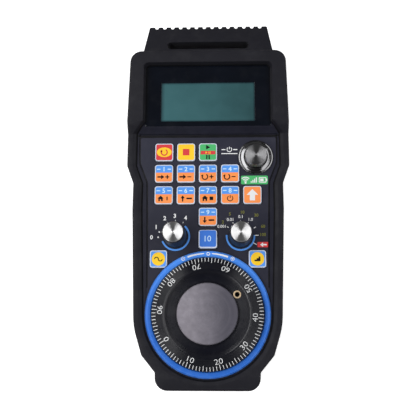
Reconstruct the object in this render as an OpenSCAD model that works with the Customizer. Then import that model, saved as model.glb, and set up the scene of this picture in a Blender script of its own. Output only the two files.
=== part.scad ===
// Handheld pulse generator with a 100-division handwheel, two selector knobs,
// sixteen keys, a push-on power switch and a display, in a rubber jacket.
// The pendant lies on its back: +Z comes out of the panel, +Y points to the display.
// Y is measured from the handwheel's axis in every module. place() then moves the
// piece so that the origin is at the middle of the back.

/* [Case] */
// Height of the control panel above the surface that the pendant lies on
panel_z = 29; // [29:0.5:32]
// Height of the jacket's rim above the panel
rim_rise = 2; // [1.8:0.1:2.4]
// Height of the display head above the panel
head_rise = 7; // [6.5:0.5:8]
// Thickness of the two plastic shells
wall = 2.2; // [2:0.1:2.4]
// Thickness of the rubber jacket round the sides
jacket_wall = 2.4; // [2.2:0.1:2.5]
// Radius of the jacket's round end, about the handwheel's axis
end_r = 40.2; // [40:0.1:40.8]

/* [Display] */
// Width of the display lens
lens_w = 70.8; // [69:0.2:71]
// Height of the display lens
lens_h = 37.4; // [37:0.2:37.6]
// Width of the lit display area
view_w = 52.4; // [50:0.2:53]
// Height of the lit display area
view_h = 23.6; // [22:0.2:23.8]

/* [Keys] */
// Side of a key
key_w = 10.2; // [9.8:0.1:10.4]
// Distance between key centres
key_pitch = 12.3; // [12.2:0.05:12.4]
// Height of the keys above the panel
key_rise = 1; // [0.9:0.1:1.4]
// Travel of a key
key_travel = 0.6; // [0.4:0.1:0.6]

/* [Handwheel] */
// Diameter of the dial
dial_d = 60; // [59:0.2:60.2]
// Outer diameter of the fixed bezel
bezel_d = 67.7; // [67:0.1:67.8]
// Diameter of the metal disc on the dial
disc_d = 32.4; // [30:0.4:32.4]
// Distance of the crank handle's insert from the axis
insert_r = 18.7; // [18.6:0.1:19]

/* [Knobs] */
// Distance of each knob from the centreline
knob_x = 17.9; // [17.7:0.1:18.1]
// Distance of the knobs from the handwheel's axis
knob_y = 42.2; // [42:0.1:42.4]
// Height of a knob's top above the panel
knob_rise = 17.5; // [15:0.5:18]

/* [Power switch] */
// Outer radius of the metal bezel
power_r = 9.8; // [9.5:0.1:9.9]
// Radius of the push button
button_r = 6.1; // [6:0.1:6.3]
// Height of the button above the panel
button_rise = 6.6; // [6:0.2:7]

/* [Hidden] */
$fn = 96;

gap = 0.05;                 // between pieces that are assembled face to face
play = 0.3;                 // round a piece that moves
cut = 1;                    // how far a cutting solid runs past a face

// Outline of the case, half of it, in the plane of the panel
tab_y = -40.2;
tab_x = 28.1;
tab_neck_y = -30.6;
swell = [35.4, -21.8];      // corner of the thicker rubber beside the tab
waist_x = 41.7;
waist_y = 71.9;
hip_x = 45.35;
hip_y = 82;
head_x = 44;
head_y = 148;
head_corner = 6.5;
bar_x = 36.9;               // half width of the top bar at its root
bar_tip_x = 34.05;
top_y = 165.2;
frame_y = -(top_y + tab_y) / 2;

// Levels
rim_z = panel_z + rim_rise;
head_z = panel_z + head_rise;
casing_rim_z = panel_z + 0.3;
overlay_t = 0.6;
deck_z = panel_z - overlay_t;
ceiling_z = deck_z - wall;
lens_top_z = panel_z + 3;
lens_t = 1.5;
pocket_z = lens_top_z - lens_t;
head_ceiling_z = pocket_z - 1.9;
parting_z = 16;
back_z = 2;
floor_z = back_z + wall;
bar_back_z = 17;
bar_root_z = panel_z + 5;

shell_d = jacket_wall + gap;
inside_d = shell_d + wall;
lip_d = 5.5;                // width of jacket that laps over the casing's front
flat_d = 2.9;               // width of the jacket's flat rim
back_lip_d = 6;

// The rise from the keypad to the display head, of the jacket and of the casing
ledge_y0 = 99.9;
ledge_y1 = 106.5;
slope_y0 = 100.6;
slope_y1 = 103.9;
head_open_x = 35;
head_open_y1 = 140;

teeth = 15;
tooth_pitch = 4.6;
notch_w = 2;
notch_h = 1.4;
slot_y = 152.1;
slot_l = 46.6;
slot_w = 4.6;
rim_steps = 3;

lens_y = slope_y1 + 0.3 + lens_h / 2;
view_y = 119.3;

// Keys: column in pitches from the centreline, or the two that stand beside the wheel
row_y = [89.7, 77.4, 65.1, 52.9, 40.5];
side_key = [27, 29.6];
side_key_w = 9.5;
key_names = [
    "key_reset", "key_stop", "key_start", "key_1", "key_2", "key_3", "key_4",
    "key_5", "key_6", "key_7", "key_8", "key_shift", "key_9", "key_10",
    "key_continuous", "key_step"
];
key_places = [
    for (c = [-2 : 0]) [c * key_pitch, row_y[0]],
    for (c = [-2 : 1]) [c * key_pitch, row_y[1]],
    for (c = [-2 : 2]) [c * key_pitch, row_y[2]],
    [0, row_y[3]],
    [0, row_y[4]],
    [-side_key.x, side_key.y],
    side_key
];
key_colors = [
    "crimson", "gold", "mediumseagreen", "cornflowerblue", "cornflowerblue", "cornflowerblue",
    "cornflowerblue", "sandybrown", "sandybrown", "sandybrown", "sandybrown", "coral",
    "sandybrown", "royalblue", "gold", "gold"
];
key_corner = 1.4;
key_flange_t = 0.9;
key_flange_z = ceiling_z - play - key_flange_t;
stem_w = 3;

// Boards
board_z = 22.2;             // top face of the main board
board_t = 1.6;
board_bottom_z = board_z - board_t;
tact_top_z = key_flange_z - key_travel - 0.15;
post_places = [[31.5, 38], [33, 96.8]];
post_r = 2.5;
boss_places = [[35.2, 136.5], [31, 50], [21.5, -21.6]];
boss_r = 3.2;
insert_l = 6;

// Handwheel
bezel_r = bezel_d / 2;
dial_r = dial_d / 2;
bezel_floor_z = panel_z - 1.4;
bezel_top_z = panel_z + 2.6;
bezel_plate_z = panel_z + 0.2;
recess_z = bezel_floor_z - wall;
recess_r = bezel_r + 1.4;
dial_low_z = panel_z + 0.9;
dial_top_z = panel_z + 8.6;
dish_z = panel_z + 7.3;
disc_top_z = panel_z + 8.9;
dish_r = 22.7;
shaft_r = 3;
hub_r = 8.4;
neck_r = 7.8;
insert_a = 32.6;
crank_insert_r = 2.1;
crank_hole_r = 1.25;
crank_insert_l = 4.6;
encoder_r = 24;
encoder_low_z = 12;
encoder_cover_t = 1.4;
bearing_r = 6;
bearing_t = 3.4;
neck_low_z = 20.5;
neck_top_z = panel_z + 0.5;
encoder_screw_r = 12;
wheel_screw_z = panel_z + 3.6;

// Selector switches
switch_r = 8.2;
switch_low_z = 12.5;
switch_top_z = ceiling_z - gap;
bushing_r = 4.4;
bushing_top_z = panel_z + 2;
nut_t = 1.4;
knob_low_z = panel_z + 0.5;
knob_top_z = panel_z + knob_rise;
knob_base_r = 6.5;
knob_tip_r = 5.8;
knob_cap_r = 5.35;
knob_hollow_r = 5.6;

// Power switch
power_at = [26.7, 86.7];
barrel_r = 7.9;
power_low_z = 9;

// Battery bay
cell_r = 7.1;
cell_l = 50.5;
cell_x = 7.9;
cell_z = 11.4;
bay_x = 16.2;
bay_y0 = 52;
bay_y1 = 107;
bay_top_z = 19;
bay_wall = 1.2;
cover_x = 17.4;
cover_y0 = 49.5;
cover_y1 = 109.5;
cover_t = 1.55;
cover_travel = 5;

// ---- Outlines ----

function unit(v) = v / norm(v);

function plan(p) = [p.x, p.y];

// Points of the round that replaces the corner at p, between its neighbours a and b
function fillet(a, p, b, r, steps = 6) =
    r == 0 ? [p] :
    let (
        u = unit(a - p),
        v = unit(b - p),
        half = acos(u * v) / 2,
        centre = p + unit(u + v) * r / sin(half),
        first = p + u * r / tan(half) - centre,
        last = p + v * r / tan(half) - centre,
        start = atan2(first.y, first.x),
        sweep = (atan2(last.y, last.x) - start + 540) % 360 - 180
    )
    [for (i = [0 : steps]) centre + r * [cos(start + sweep * i / steps), sin(start + sweep * i / steps)]];

// A closed outline from corners [x, y, radius]
function rounded(c) = [
    for (i = [0 : len(c) - 1])
        each fillet(
            plan(c[(i + len(c) - 1) % len(c)]),
            plan(c[i]),
            plan(c[(i + 1) % len(c)]),
            c[i].z
        )
];

// Both halves of an outline, from the corners of its right half
function both_sides(right) = concat(
    right,
    [for (i = [len(right) - 1 : -1 : 0]) [-right[i].x, right[i].y, right[i].z]]
);

function round_end(d, from) = [for (a = [from : 6 : -3]) [(end_r - d) * cos(a), (end_r - d) * sin(a), 0]];

// The case from the round end to the display head, d inside the jacket's face
function flank(d) = [
    [waist_x + 0.15 - d, 57, 15],
    [waist_x - d, waist_y, 4],
    [hip_x - d, hip_y, 4],
    [hip_x - 0.1 - d, 104, 0]
];

function case_outline(d) = rounded(both_sides(concat(
    round_end(d, -87),
    flank(d),
    [[head_x - d, head_y - d, head_corner - d]]
)));

// The keypad's part of the case only, with its upper edge at the foot of the ledge
function keypad_outline(d) = rounded(both_sides(concat(
    round_end(d, -87),
    [for (i = [0 : 2]) flank(d)[i]],
    [[hip_x - 0.1 - d, ledge_y0, 0]]
)));

module jacket_plan() {
    polygon(rounded(both_sides(concat(
        [[tab_x - 0.3, tab_y, 6.6], [tab_x, tab_neck_y, 1.2], [swell.x, swell.y, 3]],
        round_end(0, -18),
        flank(0),
        [[head_x, head_y, head_corner], [bar_x, head_y, 1.5], [bar_tip_x, top_y, 0.8]]
    ))));
}

// The opening through which the panel, the ledge and the display show
module front_opening() {
    polygon(rounded(both_sides(concat(
        round_end(lip_d, -87),
        [for (i = [0 : 2]) flank(lip_d)[i]],
        [
            [hip_x - 0.1 - lip_d, ledge_y0 + 0.6, 1],
            [head_open_x, ledge_y1 + 0.2, 1],
            [head_open_x, head_open_y1, 2.5]
        ]
    ))));
}

module overlay_plan(inset = 0) {
    difference() {
        polygon(rounded(both_sides([
            [33.4 - inset, 0, 0],
            [33.6 - inset, 34.6, 0],
            [34.3 - inset, 72.6, 8],
            [38.6 - inset, 83.6, 6],
            [38.9 - inset, 99.1 - inset, 1]
        ])));
        circle(r = bezel_r + 0.25 + inset);
    }
}

// ---- Solids ----

module prism(outline, low_z, high_z) {
    translate([0, 0, low_z]) linear_extrude(high_z - low_z) polygon(outline);
}

// A side view [y, z], run through the whole width of the case
module side_cut(profile) {
    rotate([90, 0, 90]) linear_extrude(2 * hip_x + 4, center = true) polygon(profile);
}

module block(x, y, z) {
    translate([x[0], y[0], z[0]]) cube([x[1] - x[0], y[1] - y[0], z[1] - z[0]]);
}

module rod(r, z0, z1, at = [0, 0]) {
    translate([at.x, at.y, z0]) cylinder(r = r, h = z1 - z0);
}

module tube(r_out, r_in, z0, z1, at = [0, 0]) {
    difference() {
        rod(r_out, z0, z1, at);
        rod(r_in, z0 - cut, z1 + cut, at);
    }
}

module rounded_square(w, r) {
    h = w / 2;
    polygon(rounded([[h, -h, r], [h, h, r], [-h, h, r], [-h, -h, r]]));
}

module both_x(places) {
    for (p = places, s = [-1, 1]) translate([s * p.x, p.y, 0]) children();
}

module place() {
    translate([0, frame_y, 0]) children();
}

// ---- Case ----

module jacket_notches() {
    for (i = [0 : teeth - 2]) {
        x = (i - (teeth - 2) / 2) * tooth_pitch;
        block([x - notch_w / 2, x + notch_w / 2], [top_y - notch_h + notch_w / 2, top_y + cut], [0, head_z]);
        rod(notch_w / 2, 0, head_z, [x, top_y - notch_h + notch_w / 2]);
    }
}

module strap_slot() {
    x = (slot_l - slot_w) / 2;
    block([-x, x], [slot_y - slot_w / 2, slot_y + slot_w / 2], [0, head_z + cut]);
    for (s = [-1, 1]) rod(slot_w / 2, 0, head_z + cut, [s * x, slot_y]);
}

module rubber_jacket() {
    color([0.15, 0.15, 0.16]) place() difference() {
        intersection() {
            linear_extrude(head_z) jacket_plan();
            side_cut([
                [tab_y - cut, 0],
                [head_y - 1, 0],
                [head_y + 3, bar_back_z],
                [top_y + cut, bar_back_z],
                [top_y + cut, panel_z],
                [head_y + 1, bar_root_z],
                [head_y - 0.5, head_z],
                [ledge_y1, head_z],
                [ledge_y0, rim_z],
                [tab_y + 6, rim_z],
                [tab_y - cut, rim_z - 1.5]
            ]);
        }
        // Room for the case
        intersection() {
            prism(case_outline(jacket_wall), back_z - gap, head_z);
            side_cut([
                [tab_y - cut, 0],
                [head_y, 0],
                [head_y, lens_top_z + gap],
                [slope_y1, lens_top_z + gap],
                [slope_y0, casing_rim_z + gap],
                [tab_y - cut, casing_rim_z + gap]
            ]);
        }
        translate([0, 0, back_z]) linear_extrude(head_z) front_opening();
        // The rim falls to the casing in low steps
        for (i = [1 : rim_steps]) prism(
            keypad_outline(lip_d - (lip_d - flat_d) * i / rim_steps),
            rim_z - (rim_z - casing_rim_z - 0.6) * (1 - i / (rim_steps + 1)),
            head_z
        );
        prism(case_outline(back_lip_d), -cut, back_z + cut);
        jacket_notches();
        strap_slot();
    }
}

module key_hole(i) {
    w = i < len(key_names) - 2 ? key_w : side_key_w;
    translate([key_places[i].x, key_places[i].y]) rounded_square(w + 2 * play, key_corner + play);
}

// Every opening in the panel, as a plan
module panel_holes() {
    for (i = [0 : len(key_names) - 1]) key_hole(i);
    for (s = [-1, 1]) translate([s * knob_x, knob_y]) circle(r = bushing_r + 0.1);
    translate(power_at) circle(r = barrel_r + 0.1);
}

// What a boss or a post leaves inside the front shell
module front_bosses() {
    both_x([boss_places[0]]) rod(boss_r, parting_z + gap, head_ceiling_z + 0.5);
    both_x([boss_places[1]]) rod(boss_r, parting_z + gap, ceiling_z + 0.5);
    both_x([boss_places[2]]) rod(boss_r, parting_z + gap, recess_z + 0.5);
    both_x(post_places) rod(post_r, board_z + gap, ceiling_z + 0.5);
}

module front_shell() {
    color([0.17, 0.17, 0.19]) place() difference() {
        union() {
            difference() {
                intersection() {
                    prism(case_outline(shell_d), parting_z + gap, lens_top_z);
                    side_cut([
                        [tab_y, parting_z],
                        [head_y, parting_z],
                        [head_y, lens_top_z],
                        [slope_y1, lens_top_z],
                        [slope_y0, casing_rim_z],
                        [tab_y, casing_rim_z]
                    ]);
                }
                intersection() {
                    prism(case_outline(inside_d), parting_z - cut, lens_top_z);
                    side_cut([
                        [tab_y, parting_z - cut],
                        [head_y, parting_z - cut],
                        [head_y, head_ceiling_z],
                        [slope_y0 + 1.7, head_ceiling_z],
                        [slope_y0 + 1.7, ceiling_z],
                        [tab_y, ceiling_z]
                    ]);
                }
            }
            rod(recess_r, recess_z, deck_z);
            front_bosses();
        }
        translate([0, 0, deck_z]) linear_extrude(lens_top_z) overlay_plan(-0.1);
        block([-38.9, 38.9], [99, slope_y0 - 0.1], [deck_z, lens_top_z]);
        rod(bezel_r + 0.15, bezel_floor_z, lens_top_z);
        rod(neck_r + 0.1, recess_z - cut, panel_z);
        for (a = [90, 210, 330]) rotate(a) rod(1.6, recess_z - cut, panel_z, [encoder_screw_r, 0]);
        translate([0, 0, ceiling_z - cut]) linear_extrude(lens_top_z) panel_holes();
        block([-lens_w / 2, lens_w / 2], [lens_y - lens_h / 2, lens_y + lens_h / 2],
            [pocket_z, lens_top_z + cut]);
        block(
            [-view_w / 2, view_w / 2],
            [view_y - view_h / 2, view_y + view_h / 2],
            [head_ceiling_z - cut, lens_top_z]
        );
        both_x(boss_places) rod(2.3, parting_z, parting_z + insert_l + 0.3);
        both_x(boss_places) rod(1.6, parting_z, parting_z + insert_l + 3);
        both_x(post_places) rod(1.15, board_z, board_z + 3.2);
    }
}

module rear_shell() {
    color([0.16, 0.16, 0.18]) place() difference() {
        union() {
            difference() {
                prism(case_outline(shell_d), back_z, parting_z);
                prism(case_outline(inside_d), floor_z, parting_z + cut);
            }
            both_x(boss_places) rod(boss_r, back_z, parting_z);
            block(
                [-bay_x - bay_wall, bay_x + bay_wall],
                [bay_y0 - bay_wall, bay_y1 + bay_wall],
                [back_z + cover_t, bay_top_z + bay_wall]
            );
        }
        block([-bay_x, bay_x], [bay_y0, bay_y1], [0, bay_top_z]);
        block(
            [-cover_x - 0.1, cover_x + 0.1],
            [cover_y0 - cover_travel - play, cover_y1 + 0.1],
            [0, back_z + cover_t + 0.1]
        );
        both_x(boss_places) rod(1.6, 0, parting_z + cut);
        both_x(boss_places) rod(2.9, 0, back_z + 2.2);
        gasket_groove();
    }
}

module gasket_groove() {
    difference() {
        prism(case_outline(shell_d + 0.7), parting_z - 0.8, parting_z + cut);
        prism(case_outline(shell_d + 1.5), parting_z - cut, parting_z + 2 * cut);
    }
}

module case_gasket() {
    color([0.35, 0.35, 0.36]) place() difference() {
        prism(case_outline(shell_d + 0.75), parting_z - 0.75, parting_z);
        prism(case_outline(shell_d + 1.45), parting_z - cut, parting_z + cut);
    }
}

// A pan-head screw that points up, with its head's face at z0
module screw(z0, z1, r, head_r, head_t) {
    difference() {
        union() {
            rod(head_r, z0, z0 + head_t);
            rod(r, z0 + head_t, z1);
        }
        for (a = [0, 90]) rotate([0, 0, a])
            translate([-head_r * 0.6, -0.3, z0 - cut]) cube([head_r * 1.2, 0.6, cut + 0.7]);
    }
}

module case_screws() {
    color("silver") place() both_x(boss_places) screw(back_z + 0.35, parting_z + 7.5, 1.45, 2.75, 1.8);
}

module case_inserts() {
    color("goldenrod") place() both_x(boss_places)
        tube(2.25, 1.5, parting_z + 0.1, parting_z + insert_l);
}

// ---- Panel and display ----

module panel_overlay() {
    color([0.2, 0.2, 0.24]) place() translate([0, 0, deck_z + 0.02]) linear_extrude(overlay_t - 0.02)
        difference() {
            overlay_plan();
            panel_holes();
        }
}

module display_lens() {
    color([0.05, 0.05, 0.06]) place() block(
        [-lens_w / 2 + 0.1, lens_w / 2 - 0.1],
        [lens_y - lens_h / 2 + 0.1, lens_y + lens_h / 2 - 0.1],
        [pocket_z + gap, lens_top_z]
    );
}

module lcd_glass() {
    color([0.3, 0.5, 0.52]) place()
        block([-28, 28], [view_y - 13.9, view_y + 13.9], [head_ceiling_z - 1.9, head_ceiling_z - gap]);
}

module lcd_frame() {
    color([0.55, 0.56, 0.58]) place() difference() {
        block([-29.5, 29.5], [view_y - 15.6, view_y + 15.6], [head_ceiling_z - 2.5, head_ceiling_z - gap]);
        block([-28.1, 28.1], [view_y - 14, view_y + 14], [head_ceiling_z - 1.95, head_ceiling_z]);
    }
}

module lcd_board() {
    color("darkgreen") place() difference() {
        block([-31, 31], [view_y - 16.8, view_y + 16.8], [head_ceiling_z - 4.2, head_ceiling_z - 2.55]);
        both_x([[29.8, view_y - 15.8], [29.8, view_y + 15.8]]) rod(0.7, 0, head_z);
    }
}

module lcd_flex() {
    top = head_ceiling_z - 4.25;
    color([0.75, 0.5, 0.2]) place() translate([-8, 0, 0]) rotate([90, 0, 90]) linear_extrude(16) polygon([
        [106.5, top],
        [106.5, top - 0.5],
        [101.3, top - 0.5],
        [97.5, board_z + 0.05],
        [94.5, board_z + 0.05],
        [94.5, board_z + 0.55],
        [97.2, board_z + 0.55],
        [101, top]
    ]);
}

// ---- Electronics ----

module main_board() {
    color("seagreen") place() difference() {
        block([-34.6, 34.6], [25.8, 100.2], [board_bottom_z, board_z]);
        both_x([[knob_x, knob_y]]) rod(switch_r + 0.5, 0, head_z);
        rod(barrel_r + 0.7, 0, head_z, power_at);
        both_x([boss_places[1]]) rod(boss_r + 0.3, 0, head_z);
        both_x(post_places) rod(1.3, 0, head_z);
    }
}

module tact_switches() {
    color([0.2, 0.2, 0.2]) place() for (p = key_places) {
        block([p.x - 2.6, p.x + 2.6], [p.y - 2.6, p.y + 2.6], [board_z + gap, tact_top_z - 0.5]);
        rod(1.6, tact_top_z - 0.5, tact_top_z, p);
    }
}

module radio_module() {
    color([0.1, 0.25, 0.5]) place() {
        block([-34.4, -27.6], [56, 74], [board_z + gap, board_z + 0.8]);
        block([-34, -28], [56.5, 66], [board_z + 0.8, board_z + 1.9]);
        for (i = [0 : 3]) block([-34, -28], [67.5 + i * 1.6, 68.3 + i * 1.6], [board_z + 0.8, board_z + 1]);
    }
}

module board_screws() {
    color("silver") place() both_x(post_places) screw(board_bottom_z - 1.5, board_z + 3, 1.1, 2.1, 1.45);
}

// ---- Handwheel ----

module wheel_bezel() {
    color([0.2, 0.45, 0.85]) place() difference() {
        rotate_extrude() polygon([
            [neck_r + 0.1, bezel_floor_z + gap],
            [bezel_r, bezel_floor_z + gap],
            [bezel_r, bezel_top_z - 0.9],
            [bezel_r - 0.7, bezel_top_z - 0.1],
            [bezel_r - 1.6, bezel_top_z],
            [dial_r + 0.75, bezel_top_z],
            [dial_r + 0.35, bezel_top_z - 0.4],
            [dial_r + 0.35, bezel_plate_z],
            [neck_r + 0.1, bezel_plate_z]
        ]);
        for (a = [90, 210, 330]) rotate(a) rod(1.6, 0, head_z, [encoder_screw_r, 0]);
    }
}

module encoder_housing() {
    color([0.6, 0.6, 0.62]) place() difference() {
        union() {
            rod(encoder_r, encoder_low_z + encoder_cover_t + gap, recess_z - gap);
            rod(neck_r, recess_z - cut, neck_top_z);
        }
        difference() {
            rod(encoder_r - 1.6, encoder_low_z, recess_z - gap - 2.8);
            rod(neck_r, neck_low_z, recess_z);
        }
        rod(4.4, 0, head_z);
        rod(bearing_r + 0.02, 0, neck_low_z + bearing_t + 0.05);
        rod(bearing_r + 0.02, neck_top_z - bearing_t - 0.05, head_z);
        for (a = [90, 210, 330]) rotate(a) rod(1.5, 0, head_z, [encoder_screw_r, 0]);
    }
}

module encoder_cover() {
    color([0.2, 0.2, 0.21]) place() {
        rod(encoder_r, encoder_low_z, encoder_low_z + encoder_cover_t);
        for (i = [-2 : 2]) rod(0.9, encoder_low_z - 3, encoder_low_z, [i * 4, 14]);
    }
}

module encoder_board() {
    color("seagreen") place() {
        tube(encoder_r - 1.65, 5, encoder_low_z + 2, encoder_low_z + 3.4);
        difference() {
            block([-4, 4], [14.5, 21.5], [encoder_low_z + 3.4, encoder_low_z + 8.2]);
            block([-5, 5], [14, 19.8], [encoder_low_z + 5, encoder_low_z + 7]);
        }
    }
}

module encoder_lead() {
    color([0.55, 0.55, 0.57]) place() translate([-6, 0, 0]) rotate([90, 0, 90]) linear_extrude(12) polygon([
        [17, encoder_low_z - gap],
        [17, encoder_low_z - 1.2],
        [26, encoder_low_z - 1.2],
        [30, board_bottom_z - 3],
        [30, board_bottom_z - gap],
        [28.8, board_bottom_z - gap],
        [28.8, board_bottom_z - 2.6],
        [25.4, encoder_low_z - gap]
    ]);
}

module encoder_screws() {
    color("silver") place() for (a = [90, 210, 330]) rotate(a) translate([encoder_screw_r, 0, 0])
        translate([0, 0, bezel_plate_z + 1.4 + gap]) mirror([0, 0, 1]) screw(0, 6.4, 1.45, 2.5, 1.4);
}

module shaft_bearings() {
    color("silver") place() for (z = [neck_low_z, neck_top_z - bearing_t]) {
        tube(bearing_r, bearing_r - 1, z, z + bearing_t);
        tube(shaft_r + 1, shaft_r + 0.05, z, z + bearing_t);
        tube(bearing_r - 1, shaft_r + 1, z + 0.4, z + bearing_t - 0.4);
    }
}

module on_crank() {
    translate([insert_r * cos(insert_a), insert_r * sin(insert_a), 0]) children();
}

module wheel_dial() {
    color([0.05, 0.05, 0.05]) place() difference() {
        union() {
            rotate_extrude() polygon([
                [0, dial_low_z],
                [hub_r, dial_low_z],
                [hub_r, dial_low_z + 3.6],
                [dial_r - 2, dial_low_z + 2.6],
                [dial_r - 2, dial_low_z],
                [dial_r, dial_low_z],
                [dial_r, panel_z + 4.6],
                [dial_r - 0.3, panel_z + 5.1],
                [dial_r - 1, panel_z + 5.45],
                [dish_r + 1, dial_top_z - 0.1],
                [dish_r + 0.3, dial_top_z],
                [dish_r - 0.2, dial_top_z - 0.2],
                [dish_r - 1.6, dish_z],
                [disc_d / 2 + 0.15, dish_z - 0.2],
                [disc_d / 2 + 0.15, panel_z + 6.6],
                [0, panel_z + 6.6]
            ]);
            on_crank() rod(3.2, dial_low_z + 0.2, dish_z - 0.5);
        }
        rod(shaft_r + 0.02, 0, panel_z + 5.8);
        on_crank() rod(crank_insert_r + 0.02, dish_z - crank_insert_l, head_z + 5);
        translate([0, 0, wheel_screw_z]) rotate([0, 90, 90]) cylinder(r = 1.5, h = hub_r + 1);
    }
}

module wheel_disc() {
    color([0.62, 0.6, 0.63]) place() rotate_extrude() polygon([
        [0, panel_z + 6.7],
        [disc_d / 2, panel_z + 6.7],
        [disc_d / 2, disc_top_z - 0.3],
        [disc_d / 2 - 0.4, disc_top_z],
        [0, disc_top_z]
    ]);
}

module crank_insert() {
    color("goldenrod") place() on_crank()
        tube(crank_insert_r, crank_hole_r, dish_z + 0.1 - crank_insert_l, dish_z + 0.1);
}

module wheel_shaft() {
    color("silver") place() rod(shaft_r, encoder_low_z + 2.2, panel_z + 5.7);
}

module code_disc() {
    color([0.5, 0.45, 0.3]) place() {
        tube(5.5, shaft_r + 0.02, encoder_low_z + 3.8, encoder_low_z + 7.6);
        difference() {
            tube(19, 5.5, encoder_low_z + 5.6, encoder_low_z + 6.2);
            for (i = [0 : 24]) rotate(i * 360 / 25) block([15.5, 17.5], [-0.5, 0.5], [0, head_z]);
        }
    }
}

module wheel_set_screw() {
    color([0.3, 0.3, 0.32]) place() translate([0, shaft_r + 0.05, wheel_screw_z]) rotate([-90, 0, 0])
        difference() {
            cylinder(r = 1.45, h = hub_r - shaft_r - 0.4);
            translate([0, 0, hub_r - shaft_r - 1.6]) cylinder(r = 0.75, h = 2, $fn = 6);
        }
}

// ---- Selector switches and knobs ----

module selector_switch(side) {
    color([0.55, 0.56, 0.58]) place() translate([side * knob_x, knob_y, 0]) difference() {
        union() {
            rod(switch_r, switch_low_z, switch_top_z);
            rod(bushing_r, switch_top_z, bushing_top_z);
            for (a = [0 : 36 : 324]) rotate(a) rod(0.6, switch_low_z - 3, switch_low_z + 0.5, [6.4, 0]);
        }
        rod(shaft_r + 0.05, switch_low_z + 1.5, head_z);
    }
}

module axis_switch() {
    selector_switch(-1);
}

module step_switch() {
    selector_switch(1);
}

module panel_nuts() {
    color("silver") place() {
        both_x([[knob_x, knob_y]]) difference() {
            translate([0, 0, panel_z + gap]) cylinder(r = 5.3, h = nut_t - gap, $fn = 6);
            rod(bushing_r + 0.05, 0, head_z);
        }
        difference() {
            tube(9.3, barrel_r + 0.05, ceiling_z - 2.6, ceiling_z - gap, power_at);
            for (a = [0 : 60 : 300]) translate([power_at.x, power_at.y, 0]) rotate(a)
                block([8.6, 10], [-0.8, 0.8], [0, head_z]);
        }
    }
}

module selector_shaft(side) {
    color("silver") place() difference() {
        rod(shaft_r, switch_low_z + 1.7, knob_top_z - 4, [side * knob_x, knob_y]);
        translate([side * knob_x - 4, knob_y + 2.4, bushing_top_z + 0.5]) cube([8, 2, knob_rise]);
    }
}

module axis_shaft() {
    selector_shaft(-1);
}

module step_shaft() {
    selector_shaft(1);
}

module selector_knob(side) {
    color([0.05, 0.05, 0.05]) place() translate([side * knob_x, knob_y, 0]) difference() {
        rotate_extrude() polygon([
            [0, knob_low_z],
            [knob_base_r, knob_low_z],
            [knob_base_r, knob_low_z + 1.6],
            [knob_base_r - 0.2, knob_low_z + 2],
            [knob_tip_r, knob_top_z - 0.7],
            [knob_tip_r - 0.3, knob_top_z - 0.3],
            [0, knob_top_z - 0.3]
        ]);
        rod(knob_hollow_r, 0, knob_low_z + 1.7);
        rod(shaft_r + 0.03, 0, knob_top_z - 3.9);
        rod(knob_cap_r + 0.05, knob_top_z - 0.9, knob_top_z + cut);
        for (i = [0 : 17]) rotate(i * 20)
            rod(0.35, knob_low_z + 2.4, knob_top_z - 1.2, [knob_base_r + 0.05, 0]);
    }
}

module axis_knob() {
    selector_knob(-1);
}

module step_knob() {
    selector_knob(1);
}

module selector_cap(side) {
    color("gainsboro") place() translate([side * knob_x, knob_y, 0]) rotate_extrude() polygon([
        [0, knob_top_z - 0.85],
        [knob_cap_r, knob_top_z - 0.85],
        [knob_cap_r, knob_top_z - 0.2],
        [knob_cap_r - 0.2, knob_top_z],
        [0, knob_top_z]
    ]);
}

module axis_knob_cap() {
    selector_cap(-1);
}

module step_knob_cap() {
    selector_cap(1);
}

// ---- Power switch ----

module power_bezel() {
    color([0.8, 0.8, 0.82]) place() translate([power_at.x, power_at.y, 0]) rotate_extrude() polygon([
        [button_r + 0.3, panel_z - 9.4],
        [barrel_r, panel_z - 9.4],
        [barrel_r, panel_z + gap],
        [power_r, panel_z + gap],
        [power_r, panel_z + 0.7],
        [power_r - 0.3, panel_z + 1],
        [power_r - 0.9, panel_z + 1.1],
        [power_r - 1.1, panel_z + 1.3],
        [button_r + 0.7, panel_z + 2.05],
        [button_r + 0.3, panel_z + 2.1]
    ]);
}

module power_switch() {
    color([0.15, 0.15, 0.16]) place() {
        rod(barrel_r - 0.2, power_low_z, panel_z - 9.45, power_at);
        for (s = [-1, 1]) translate([power_at.x, power_at.y, 0])
            block([s * 4 - 1, s * 4 + 1], [-0.4, 0.4], [power_low_z - 3.5, power_low_z]);
    }
}

module power_button() {
    color("gainsboro") place() translate([power_at.x, power_at.y, 0]) rotate_extrude() polygon([
        [0, panel_z - 6.8],
        [button_r, panel_z - 6.8],
        [button_r, panel_z + button_rise - 0.5],
        [button_r - 0.4, panel_z + button_rise],
        [0, panel_z + button_rise]
    ]);
}

// ---- Battery bay ----

module batteries() {
    color([0.3, 0.32, 0.35]) place() for (s = [-1, 1])
        translate([s * cell_x, (bay_y0 + bay_y1) / 2, cell_z]) rotate([s * 90, 0, 0]) {
            translate([0, 0, -cell_l / 2]) cylinder(r = cell_r, h = cell_l - 1.2);
            translate([0, 0, cell_l / 2 - 1.2]) cylinder(r = 2.7, h = 1.2);
        }
}

module battery_contacts() {
    color("silver") place() translate([0, (bay_y0 + bay_y1) / 2, cell_z]) for (s = [0, 1]) rotate(s * 180) {
        end = (bay_y1 - bay_y0) / 2 - gap;
        block([-15.8, 15.8], [end - 0.35, end], [-4.5, 4.5]);
        // Coil that presses on a cell's flat end
        for (i = [0 : 1]) translate([cell_x, end - 0.35 - i * 0.7, 0]) rotate([90, 0, 0]) difference() {
            cylinder(r = 4.4 - i * 0.8, h = 0.7);
            translate([0, 0, -cut]) cylinder(r = 3.2 - i * 0.8, h = 0.7 + 2 * cut);
        }
    }
}

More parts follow.
